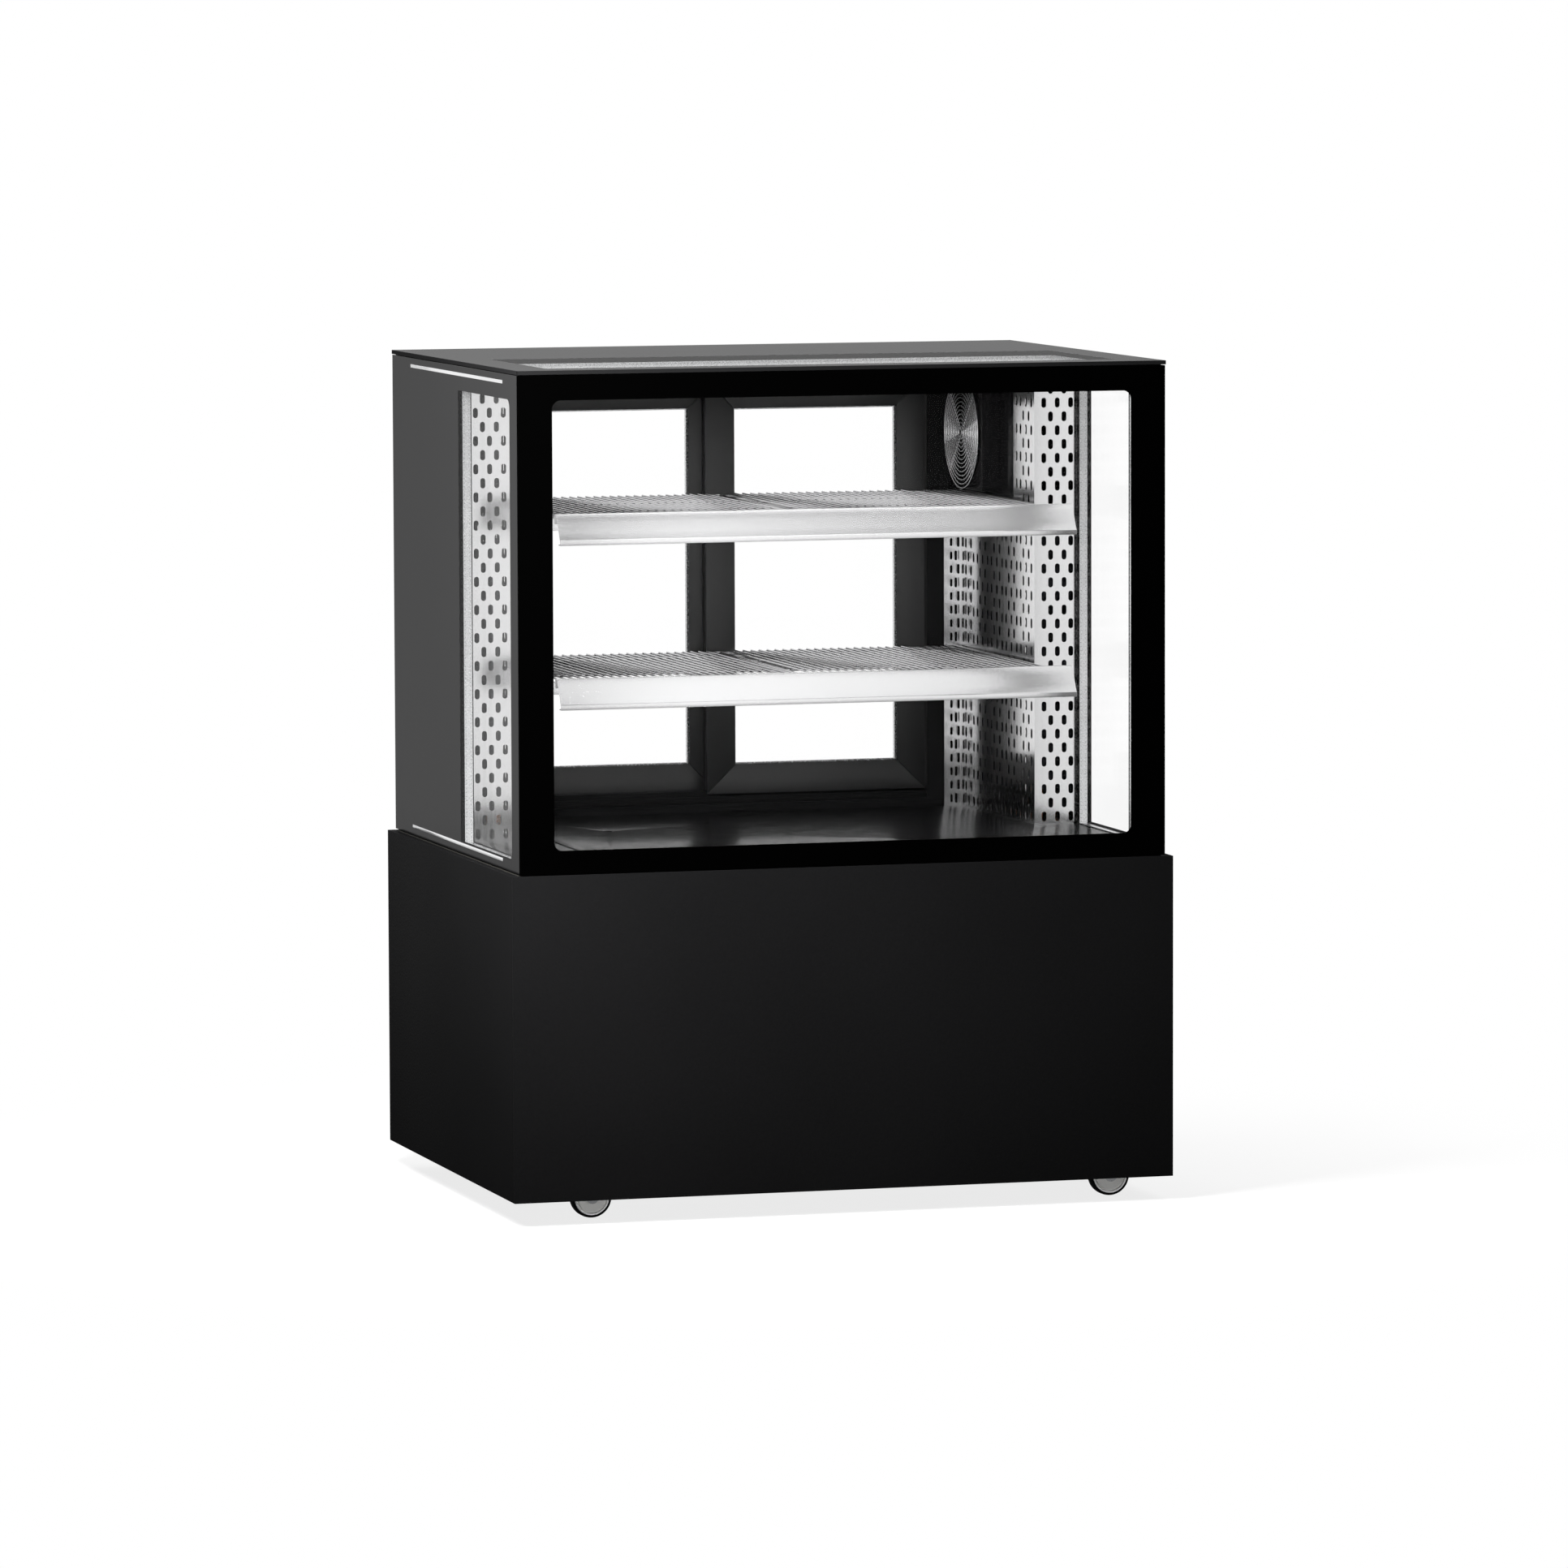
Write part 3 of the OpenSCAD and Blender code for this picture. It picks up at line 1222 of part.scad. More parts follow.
// Profile of the shelf rail, y back and z up from its foot
module rail_profile() {
    m1 = [rail_lean * 0.36, rail_h * 0.42];
    m2 = [rail_lean * 0.74, rail_h * 0.74];
    back = rail_lean + rail_d;
    polygon([[0, 0], [0, 7], [1.8, 7.8], m1, m2, [rail_lean, rail_h - 1], [rail_lean + 1, rail_h],
             [back, rail_h], [back, rail_h - 14], [back - rail_t, rail_h - 14],
             [back - rail_t, rail_h - rail_t], [rail_lean + 1.4, rail_h - rail_t], m2 + [rail_t, 0],
             m1 + [rail_t, 0], [3.2, 6.8], [rail_t, 6], [rail_t, rail_t], [10, rail_t], [10, 0]]);
}

module shelf_rails() {
    color([0.8, 0.8, 0.81]) for (z = shelf_z) translate([-shelf_x, y_rail, z - rail_h])
        rotate([90, 0, 90]) linear_extrude(2 * shelf_x) rail_profile();
}

module shelf_frame(z) {
    zt = ledge_z(z);
    foot = z - rack_drop - 2;
    mirror_pair() {
        translate([arm_x - arm_t, 0, 0]) rotate([90, 0, 90]) linear_extrude(arm_t)
            polygon([[y_shelf0, zt - 10], [y_column, zt - arm_h], [y_shelf1, zt - arm_h], [y_shelf1, foot],
                     [y_shelf0, foot]]);
        block(arm_x - 18, arm_x - arm_t + eps, y_shelf0, y_shelf1, zt - arm_t, zt);
        for (y = [y_column + 40, y_shelf1 - 60])
            block(arm_x - eps, wall_x(y + 14) - gap, y, y + 14, zt - arm_h, zt - 6);
    }
    block(-arm_x, arm_x, y_shelf1, y_shelf1 + arm_t, zt - arm_h, foot);
    block(-arm_x, arm_x, y_shelf0, y_shelf0 + arm_t, zt - 10, foot);
    for (y = [y_shelf0 + arm_t - eps, y_shelf1 - 14 + eps])
        block(-arm_x + arm_t, arm_x - arm_t, y, y + 14, zt - arm_t, zt);
    block(-9, 9, y_shelf0 + 14, y_shelf1 - 13, zt - arm_t, zt);
}

module shelf_frames() color([0.7, 0.71, 0.72]) for (z = shelf_z) shelf_frame(z);

rack_gap = 2;

// One rack: a rim of thick wire with thin wires laid over it
module rack(z) {
    x0 = rack_gap / 2 + rim_d / 2;
    x1 = arm_x - arm_t - gap - rim_d / 2;
    y0 = y_shelf0 + arm_t + 1 + rim_d / 2;
    y1 = y_shelf1 - 1 - rim_d / 2;
    zr = rim_z(z);
    zw = z - rack_drop - wire_d / 2;
    n = floor((x1 - x0 - 4) / wire_pitch);
    step = (x1 - x0) / (n + 1);
    for (x = [x0, x1]) rod([x, y0, zr], [x, y1, zr], rim_d);
    for (y = [y0, y1]) rod([x0, y, zr], [x1, y, zr], rim_d);
    for (x = [x0, x1], y = [y0, y1]) translate([x, y, zr]) sphere(d = rim_d, $fn = 16);
    for (i = [1 : n]) rod([x0 + i * step, y0, zw], [x0 + i * step, y1, zw], wire_d);
    for (f = [0.33, 0.67]) rod([x0, y0 + f * (y1 - y0), zr], [x1, y0 + f * (y1 - y0), zr], wire_d + 1);
}

module wire_racks() color([0.78, 0.78, 0.79]) mirror_pair() for (z = shelf_z) rack(z);

// ---------- nodes ----------

chassis();
front_panel();
left_panel();
right_panel();
rear_panel();
rear_grille();
insulated_floor();
compressor();
condenser();
condenser_motor();
condenser_blades();
refrigerant_lines();
drip_tray();
control_panel();
light_switch();
cable_gland();
caster_plates();
at_caster(-1, -1) braked_fork();  // fork_front_left
at_caster(1, -1) braked_fork();  // fork_front_right
at_caster(-1, 1) caster_fork();  // fork_rear_left
at_caster(1, 1) caster_fork();  // fork_rear_right
at_caster(-1, -1) caster_wheel();  // wheel_front_left
at_caster(1, -1) caster_wheel();  // wheel_front_right
at_caster(-1, 1) caster_wheel();  // wheel_rear_left
at_caster(1, 1) caster_wheel();  // wheel_rear_right
at_caster(-1, -1) caster_tyre();  // tyre_front_left
at_caster(1, -1) caster_tyre();  // tyre_front_right
at_caster(-1, 1) caster_tyre();  // tyre_rear_left
at_caster(1, 1) caster_tyre();  // tyre_rear_right
at_caster(-1, -1) brake_pedal();  // brake_left
at_caster(1, -1) brake_pedal();  // brake_right
glass_frame();
front_glass();
left_glass();
right_glass();
top_glass();
spacer_bars();
side_trims();
insulation_panels();
led_light();
deck_tray();
rear_frame();
door_tracks();
door_frame_left();
door_frame_right();
door_glass_left();
door_glass_right();
door_pull_left();
door_pull_right();
left_duct();
right_duct();
fan_housings();
fan_guards();
fan_motors();
fan_left();
fan_right();
evaporators();
shelf_rails();
shelf_frames();
wire_racks();
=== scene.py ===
"""Dresses the refrigerated deli case: glass display, air ducts, shelves, sliding doors, base and casters."""

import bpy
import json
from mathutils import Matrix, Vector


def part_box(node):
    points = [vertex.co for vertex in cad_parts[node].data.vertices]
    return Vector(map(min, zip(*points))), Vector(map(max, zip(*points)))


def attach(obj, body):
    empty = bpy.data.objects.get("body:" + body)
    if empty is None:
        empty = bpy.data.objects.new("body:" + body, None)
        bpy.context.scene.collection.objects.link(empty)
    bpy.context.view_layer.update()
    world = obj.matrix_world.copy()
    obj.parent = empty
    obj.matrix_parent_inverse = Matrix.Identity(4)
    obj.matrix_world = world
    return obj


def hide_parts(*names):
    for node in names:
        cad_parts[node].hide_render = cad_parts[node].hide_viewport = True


bl_info = {
    "name": "Refrigerated deli case",
    "version": (1, 0, 0),
    "blender": (4, 5, 0),
    "location": "View3D > Sidebar > Deli case",
    "description": "Finishes and detailed pieces for a glass deli case on casters",
    "category": "Object",
}

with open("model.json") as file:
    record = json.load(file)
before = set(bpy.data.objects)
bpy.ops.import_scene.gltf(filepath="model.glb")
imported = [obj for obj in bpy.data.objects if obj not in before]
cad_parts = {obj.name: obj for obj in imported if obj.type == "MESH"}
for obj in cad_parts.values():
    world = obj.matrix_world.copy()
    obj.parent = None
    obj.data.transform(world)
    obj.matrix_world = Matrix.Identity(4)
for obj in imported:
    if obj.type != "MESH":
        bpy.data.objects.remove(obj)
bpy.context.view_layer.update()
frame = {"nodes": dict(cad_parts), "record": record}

import json
import math

import bmesh
import bpy
from bpy.props import FloatProperty, FloatVectorProperty, IntProperty, PointerProperty
from mathutils import Matrix, Vector

NODES = frame["nodes"]
BODY_OF = {n: b for b, ns in frame["record"]["behaviour"]["bodies"].items() for n in ns}
SLOT_OF = {s["node"]: s["material_slot"] for s in frame["record"]["subparts"]}
CORNERS = ("front_left", "front_right", "rear_left", "rear_right")
SIDES = ("left", "right")
X, Y, Z = 0, 1, 2


# ---------- settings ----------


def length(name, text, default):
    return FloatProperty(name=name, description=text, default=default, min=0.0, unit="LENGTH")


def power(name, text, default):
    return FloatProperty(name=name, description=text, default=default, min=0.0, unit="POWER")


def colour(name, text, default):
    return FloatVectorProperty(name=name, description=text, default=default, size=3, min=0, max=1,
                               subtype="COLOR")


class DeliCaseSizes(bpy.types.PropertyGroup):
    border_side: length("Side border", "Printed border at the sides of the front glass", 0.051)
    border_low: length("Lower border", "Printed border under the front window", 0.033)
    border_top: length("Upper border", "Printed border over the front window", 0.036)
    corner: length("Window corner", "Radius of the window corners", 0.013)
    side_front: length("Side window front", "Printed border in front of a side window", 0.041)
    side_depth: length("Side window depth", "Depth of a side window", 0.298)
    side_low: length("Side window sill", "Printed border under a side window", 0.017)
    roof_side: length("Roof border", "Printed border at the sides of the roof window", 0.059)
    roof_front: length("Roof window front", "Printed border in front of the roof window", 0.061)
    roof_depth: length("Roof window depth", "Depth of the roof window", 0.310)
    guard_wire: length("Guard wire", "Diameter of the fan guard's wire", 0.0018)
    guard_pitch: length("Guard pitch", "Distance between the guard's rings", 0.0062)
    rack_wire: length("Rack wire", "Diameter of a rack's grid wires", 0.0025)
    rack_rim: length("Rack rim", "Diameter of a rack's rim", 0.005)
    rack_pitch: length("Rack pitch", "Distance between a rack's wires", 0.0125)
    dot_pitch: length("Dot pitch", "Distance between the spacer's perforations", 0.006)
    dot: length("Dot", "Radius of a perforation", 0.0006)
    fan_blades: IntProperty(name="Fan blades", description="Blades of a fan wheel", default=5, min=3, max=9)


class DeliCaseColours(bpy.types.PropertyGroup):
    coat: colour("Base coat", "Powder coat of the base", (0.006, 0.006, 0.0062))
    print_front: colour("Front print", "Print of the front glass", (0.0003, 0.0003, 0.0003))
    # The side and roof tint is the front's black print made lighter: painted sheen for the light the side and
    # roof panes catch
    print_side_and_sheen: colour("Side print", "Print of the side and roof glass", (0.007, 0.007, 0.0072))
    profile: colour("Profiles", "Frames of the display and doors", (0.0025, 0.0025, 0.0026))
    stainless: colour("Stainless", "Air ducts", (0.74, 0.74, 0.745))
    rail: colour("Shelf rails", "Rails and frames of the shelves", (0.72, 0.72, 0.725))
    chrome: colour("Plated wire", "Racks and guards", (0.88, 0.88, 0.89))
    aluminium: colour("Aluminium", "Spacers", (0.58, 0.585, 0.59))
    zinc: colour("Zinc", "Forks and caster plates", (0.55, 0.56, 0.58))
    wheel: colour("Wheel", "Discs of the caster wheels", (0.8, 0.8, 0.78))
    copper: colour("Copper", "Refrigerant lines", (0.72, 0.36, 0.2))
    foam: colour("Foam", "Insulation", (0.035, 0.034, 0.03))


class DeliCaseStage(bpy.types.PropertyGroup):
    ambient: FloatProperty(name="Ambient", description="Strength of the soft surrounding light", default=0.18,
                           min=0)
    key: power("Key light", "Power of the key light", 100.0)
    fill: power("Fill light", "Power of the fill light and of the light overhead", 32.0)
    rear: power("Rear light", "Power of the light behind the case", 160.0)
    low: power("Low light", "Power of the light on the casters", 10.0)
    inside: power("Case light", "Power of the light in the display", 3.0)
    lens: FloatProperty(name="Lens", description="Focal length of the camera", default=209.87, min=1,
                        unit="CAMERA")


def sizes():
    return bpy.context.scene.deli_sizes


def colours():
    return bpy.context.scene.deli_colours


# ---------- materials ----------


FINE_SHARE = 0.35  # share of the fine grain in the drift of tone
FINE_RANGE = (0.3, 0.7)  # part of the grain's noise that roughness follows
BUMP = 0.6  # strength of the relief
GLASS_ROUGH = 0.03  # roughness of glass where its film is thickest
GLASS_SHEEN = (0.0008, 0.14)  # share of reflection seen square on, and along the pane
GLASS_RISE = 5.0  # power by which the reflection grows between the two


def add(tree, kind, values=None, **fields):
    """A node with its fields set, and its inputs set or linked."""
    made = tree.nodes.new(kind)
    for key, value in fields.items():
        setattr(made, key, value)
    for key, value in (values or {}).items():
        if isinstance(value, bpy.types.NodeSocket):
            tree.links.new(value, made.inputs[key])
        else:
            made.inputs[key].default_value = value
    return made


def out(tree, kind, values=None, **fields):
    """The first output of a new node."""
    return add(tree, kind, values, **fields).outputs[0]


def mix_shaders(tree, share, one, two):
    return out(tree, "ShaderNodeMixShader", {0: share, 1: one, 2: two})


def new_material(name):
    material = bpy.data.materials.new(name)
    material.use_nodes = True
    return material


def finish(name, tint, rough, metallic=0.0, grain=300, relief=0.0, shade=0.2, wear=0.06, specular=0.5,
           coat=0.0, clouds=4.0):
    """A surface whose tone drifts slowly and whose roughness and relief follow a fine grain."""
    if name in bpy.data.materials:
        return bpy.data.materials[name]
    material = new_material(name)
    tree = material.node_tree
    shader = tree.nodes["Principled BSDF"]
    scales = grain if isinstance(grain, tuple) else (grain, grain, grain)
    place = add(tree, "ShaderNodeTexCoord").outputs["Object"]
    stretched = add(tree, "ShaderNodeMapping", {"Vector": place, "Scale": scales}).outputs["Vector"]
    fine = out(tree, "ShaderNodeTexNoise", {"Vector": stretched, "Scale": 1.0, "Detail": 4.0})
    slow = out(tree, "ShaderNodeTexNoise", {"Vector": place, "Scale": clouds, "Detail": 2.0})
    both = out(tree, "ShaderNodeMix", {0: FINE_SHARE, 2: slow, 3: fine})
    dark = tuple(c * (1 - shade) for c in tint) + (1.0,)
    light = tuple(min(1.0, c * (1 + shade)) for c in tint) + (1.0,)
    tone = add(tree, "ShaderNodeMix", {0: both, 6: dark, 7: light}, data_type="RGBA").outputs[2]
    spread = out(tree, "ShaderNodeMapRange", {
        "Value": fine, "From Min": FINE_RANGE[0], "From Max": FINE_RANGE[1],
        "To Min": max(0.0, rough - wear), "To Max": min(1.0, rough + wear)})
    bump = out(tree, "ShaderNodeBump", {"Height": fine, "Strength": BUMP, "Distance": relief})
    for socket, source in (("Base Color", tone), ("Roughness", spread), ("Normal", bump)):
        tree.links.new(source, shader.inputs[socket])
    for socket, value in (("Metallic", metallic), ("Specular IOR Level", specular), ("Coat Weight", coat)):
        shader.inputs[socket].default_value = value
    material.diffuse_color = (*tint, 1.0)
    return material


def clear_glass():
    """Clear glass that lamps shine through, with a faint reflection that grows at flat angles."""
    name = "clear_glass"
    if name in bpy.data.materials:
        return bpy.data.materials[name]
    material = new_material(name)
    tree = material.node_tree
    tree.nodes.remove(tree.nodes["Principled BSDF"])
    place = add(tree, "ShaderNodeTexCoord").outputs["Object"]
    film = out(tree, "ShaderNodeTexNoise", {"Vector": place, "Scale": 7.0, "Detail": 3.0})
    rough = out(tree, "ShaderNodeMapRange", {"Value": film, "To Min": 0.0, "To Max": GLASS_ROUGH})
    through = out(tree, "ShaderNodeBsdfTransparent", {"Color": (1, 1, 1, 1)})
    sheen = out(tree, "ShaderNodeBsdfGlossy", {"Color": (1, 1, 1, 1), "Roughness": rough})
    facing = add(tree, "ShaderNodeLayerWeight", {"Blend": 0.5}).outputs["Facing"]
    edge = out(tree, "ShaderNodeMath", {0: facing, 1: GLASS_RISE}, operation="POWER")
    least, most = GLASS_SHEEN
    share = out(tree, "ShaderNodeMapRange", {"Value": edge, "To Min": least, "To Max": most})
    shown = mix_shaders(tree, share, through, sheen)
    tree.links.new(shown, tree.nodes["Material Output"].inputs["Surface"])
    return material


def coat_black():
    return finish("black_powder_coat", colours().coat, 0.55, grain=380, relief=0.0003, shade=0.45, wear=0.1,
                  specular=0.002, clouds=2.0)


def front_print():
    return finish("front_glass_print", colours().print_front, 0.05, grain=30, shade=0.1, wear=0.02,
                  specular=0.0)


# Painted sheen: the side panes' print is lighter than the front's, for the light they catch
def side_print_and_sheen():
    return finish("side_glass_print", colours().print_side_and_sheen, 0.12, grain=30, shade=0.15, wear=0.04,
                  specular=0.01)


# Painted sheen: the roof print shares the side's lighter tint
def roof_print_and_sheen():
    return finish("roof_glass_print", colours().print_side_and_sheen, 0.16, grain=30, shade=0.05, wear=0.0,
                  specular=0.0003)


def gloss_liner():
    return finish("gloss_black_liner", (0.002, 0.002, 0.0021), 0.22, grain=50, wear=0.04, specular=0.03)


def gloss_housing():
    return finish("gloss_housing", (0.002, 0.002, 0.0021), 0.16, grain=60, wear=0.04, specular=0.03)


def dark_profile():
    return finish("dark_anodised", colours().profile, 0.42, grain=(900, 900, 60), relief=0.000006,
                  shade=0.15, specular=0.05)


def door_profile():
    return finish("door_profile", (0.0019, 0.0019, 0.002), 0.5, grain=(800, 800, 80), relief=0.00001,
                  shade=0.12, specular=0.03)


def duct_steel():
    return finish("duct_stainless", colours().stainless, 0.16, metallic=1.0, grain=(300, 300, 4),
                  shade=0.06, wear=0.02)


def rail_steel():
    return finish("rail_stainless", colours().rail, 0.26, metallic=0.86, grain=(2, 500, 500), shade=0.02,
                  wear=0.01)


def polished_strip():
    return finish("polished_strip", (0.85, 0.85, 0.86), 0.2, metallic=1.0, grain=(6, 6, 400),
                  relief=0.000002, shade=0.04)


def light_channel():
    return finish("light_channel", (0.5, 0.5, 0.52), 0.35, metallic=1.0, grain=(6, 600, 600),
                  relief=0.000004, shade=0.06)


def rack_wire():
    return finish("rack_wire", (0.5, 0.5, 0.51), 0.18, metallic=1.0, shade=0.06, wear=0.05)


def plated():
    return finish("plated_wire", colours().chrome, 0.22, metallic=0.85, shade=0.06, wear=0.05)


def spacer_metal():
    return finish("spacer_aluminium", colours().aluminium, 0.26, metallic=0.9, shade=0.25, wear=0.05,
                  clouds=14.0)


# Painted shade: dark grey beads stand in for the spacers' holes, whose darkness is shade
def perforation():
    return finish("perforation", (0.05, 0.05, 0.055), 0.6, grain=200, shade=0.1)


def sealant():
    return finish("sealant", (0.003, 0.003, 0.003), 0.6, relief=0.00002, specular=0.1)


def zinc():
    return finish("zinc_plate", colours().zinc, 0.34, metallic=1.0, grain=160, relief=0.00001, shade=0.14,
                  wear=0.1)


def wheel_ring():
    return finish("wheel_ring", (0.92, 0.92, 0.93), 0.22, metallic=0.5, grain=200, relief=0.000004,
                  shade=0.06)


def wheel_plastic():
    return finish("wheel_grey", colours().wheel, 0.45, relief=0.00003, shade=0.12, wear=0.08)


def rubber():
    return finish("tyre_rubber", (0.004, 0.004, 0.004), 0.72, grain=600, relief=0.00006, shade=0.3,
                  wear=0.1, specular=0.03)


def black_plastic():
    return finish("black_plastic", (0.012, 0.012, 0.013), 0.5, grain=700, relief=0.00003, wear=0.08,
                  specular=0.35)


def matte_plastic():
    return finish("matte_black_plastic", (0.003, 0.003, 0.0032), 0.6, grain=700, relief=0.00002, wear=0.08,
                  specular=0.04)


def black_enamel():
    return finish("black_enamel", (0.01, 0.01, 0.011), 0.28, grain=120, relief=0.00002, wear=0.08,
                  specular=0.45, coat=0.2)


def switch_red():
    return finish("switch_red", (0.42, 0.02, 0.015), 0.22, grain=150, relief=0.00001, shade=0.1, wear=0.05,
                  coat=0.3)


def galvanised():
    return finish("galvanised_sheet", (0.42, 0.43, 0.45), 0.4, metallic=1.0, grain=70, relief=0.00001,
                  shade=0.22, wear=0.12)


def condenser_fins():
    return finish("condenser_fins", (0.6, 0.61, 0.63), 0.38, metallic=1.0, grain=200, relief=0.00001,
                  shade=0.1, wear=0.1)


def coated_coil():
    return finish("coated_coil_fins", (0.012, 0.013, 0.016), 0.4, grain=220, relief=0.00001, wear=0.1,
                  specular=0.2)


def copper():
    return finish("drawn_copper", colours().copper, 0.3, metallic=1.0, grain=200, relief=0.00001,
                  shade=0.25, wear=0.12)


def pipe_sleeve():
    return finish("pipe_sleeve", (0.01, 0.01, 0.01), 0.6, relief=0.00003, specular=0.2)


def foam():
    return finish("cut_foam", colours().foam, 0.85, grain=420, relief=0.0002, shade=0.12, specular=0.2)


# ---------- mesh helpers ----------


IN_PLANE = math.radians(0.5)  # faces that turn by less are one flat face
SHARP = math.radians(25)  # edges that turn by more are rounded
PANE_ARRIS = 0.0006  # rounding on the edges of a printed pane
PLATE_ARRIS = 0.0005  # bevel on the edges of a plain plate


def others(axis):
    """The two axes across the given one."""
    return [i for i in (X, Y, Z) if i != axis]


def thin_axis(size):
    return min((X, Y, Z), key=lambda i: size[i])


def volume(box):
    size = box[1] - box[0]
    return size.x * size.y * size.z


def at(axis, a, b, along):
    """The point at a place along an axis, with a and b on the two others."""
    u, v = others(axis)
    point = [0.0, 0.0, 0.0]
    point[u], point[v], point[axis] = a, b, along
    return point


def turned(centre, axis, radius, angle, offset):
    """The point at a radius and an angle round an axis through the centre."""
    u, v = others(axis)
    point = list(centre)
    point[u] += radius * math.cos(angle)
    point[v] += radius * math.sin(angle)
    point[axis] += offset
    return point


def new_object(name, data):
    obj = bpy.data.objects.new(name, data)
    bpy.context.scene.collection.objects.link(obj)
    return obj


def settle(name, mesh, body, slot, *replaced, materials=(), smooth=35):
    """The mesh becomes a named piece on a body; its faces shade smooth up to the given angle."""
    obj = new_object(name, mesh)
    for material in materials:
        mesh.materials.append(material)
    mesh.shade_smooth()
    mesh.set_sharp_from_angle(angle=math.radians(smooth))
    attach(obj, body)
    if replaced:
        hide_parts(*replaced)
    return obj


def mesh_from(bm, name, outward=True):
    if outward:
        bmesh.ops.recalc_face_normals(bm, faces=bm.faces[:])
    mesh = bpy.data.meshes.new(name)
    bm.to_mesh(mesh)
    bm.free()
    return mesh


def piece(name, bm, body, slot, *replaced, **looks):
    """A finished shape becomes a named piece on a body."""
    return settle(name, mesh_from(bm, name), body, slot, *replaced, **looks)


def gather(bm, part):
    """Adds a finished shape to a larger one."""
    mesh = mesh_from(part, "part")
    bm.from_mesh(mesh)
    bpy.data.meshes.remove(mesh)


def merged(node):
    """A node's faces with the points that they share joined."""
    bm = bmesh.new()
    bm.from_mesh(NODES[node].data)
    bmesh.ops.remove_doubles(bm, verts=bm.verts[:], dist=1e-6)
    return bm


def solids(node):
    """Boxes of a node's separate solids, the largest first."""
    bm = merged(node)
    met, found = set(), []
    for first in bm.verts:
        if first in met:
            continue
        met.add(first)
        stack, part = [first], []
        while stack:
            vert = stack.pop()
            part.append(vert.co.copy())
            for edge in vert.link_edges:
                other = edge.other_vert(vert)
                if other not in met:
                    met.add(other)
                    stack.append(other)
        lo = Vector(min(p[i] for p in part) for i in range(3))
        hi = Vector(max(p[i] for p in part) for i in range(3))
        found.append((lo, hi))
    bm.free()
    return sorted(found, key=volume, reverse=True)


def refine(node, material, edge=0.0006, segments=2, smooth=35):
    """A copy of a node with its flat faces joined and its sharp edges rounded."""
    bm = merged(node)
    bmesh.ops.dissolve_limit(bm, angle_limit=IN_PLANE, verts=bm.verts[:], edges=bm.edges[:])
    edges = [e for e in bm.edges if len(e.link_faces) == 2 and e.calc_face_angle(0) > SHARP]
    bmesh.ops.bevel(bm, geom=edges, offset=edge, segments=segments, profile=0.5, affect="EDGES",
                    clamp_overlap=True)
    name = node + "_finished"
    mesh = mesh_from(bm, name, outward=False)
    return settle(name, mesh, BODY_OF[node], SLOT_OF[node], node, materials=[material], smooth=smooth)


def dress(node, material):
    """The CAD node stays, with a finished material."""
    data = NODES[node].data
    data.materials.clear()
    data.materials.append(material)


def rounded_outline(u0, u1, v0, v1, radii, steps=8):
    """Points round a rectangle, anticlockwise from its lower left corner; radii in the same order."""
    corners = ((u0, v0, 1, 1, 180), (u1, v0, -1, 1, 270), (u1, v1, -1, -1, 0), (u0, v1, 1, -1, 90))
    points = []
    for (u, v, du, dv, start), r in zip(corners, radii):
        if r == 0:
            points.append((u, v))
            continue
        for i in range(steps + 1):
            a = math.radians(start + 90 * i / steps)
            points.append((u + du * r + r * math.cos(a), v + dv * r + r * math.sin(a)))
    return points


def window_pane(name, node, box, flat, hole, radii, border):
    """A glass plate with a printed border (first material) round a clear window (second material)."""
    lo, hi = box
    u, v = others(flat)
    outer = [(lo[u], lo[v]), (hi[u], lo[v]), (hi[u], hi[v]), (lo[u], hi[v])]
    inner = rounded_outline(*hole, radii)
    bm = bmesh.new()
    rims = []
    for level in (lo[flat], hi[flat]):
        rim = [bm.verts.new(at(flat, a, b, level)) for a, b in outer]
        ring = [bm.verts.new(at(flat, a, b, level)) for a, b in inner]
        edges = []
        for loop in (rim, ring):
            edges += [bm.edges.new((a, b)) for a, b in zip(loop, loop[1:] + loop[:1])]
        bmesh.ops.triangle_fill(bm, use_beauty=True, edges=edges)
        bm.faces.new(ring).material_index = 1
        rims.append(rim)
    low, high = rims
    for i in range(4):
        j = (i + 1) % 4
        bm.faces.new((low[i], low[j], high[j], high[i]))
    corners = set(low + high)
    edges = [e for e in bm.edges if e.verts[0] in corners and e.verts[1] in corners and
             any(len(f.verts) == 4 for f in e.link_faces)]
    bmesh.ops.bevel(bm, geom=edges, offset=PANE_ARRIS, segments=2, profile=0.5, affect="EDGES")
    return piece(name, bm, "case", "glass", node, materials=[border, clear_glass()], smooth=20)


def plate(name, box, body, slot, material, replaced=()):
    """A plain plate with arrised edges."""
    lo, hi = box
    bm = bmesh.new()
    bmesh.ops.create_cube(bm, size=1.0)
    for vert in bm.verts:
        vert.co = Vector((lo[i] + hi[i]) / 2 + vert.co[i] * (hi[i] - lo[i]) for i in range(3))
    bmesh.ops.bevel(bm, geom=bm.edges[:], offset=PLATE_ARRIS, segments=1, affect="EDGES")
    return piece(name, bm, body, slot, *replaced, materials=[material])


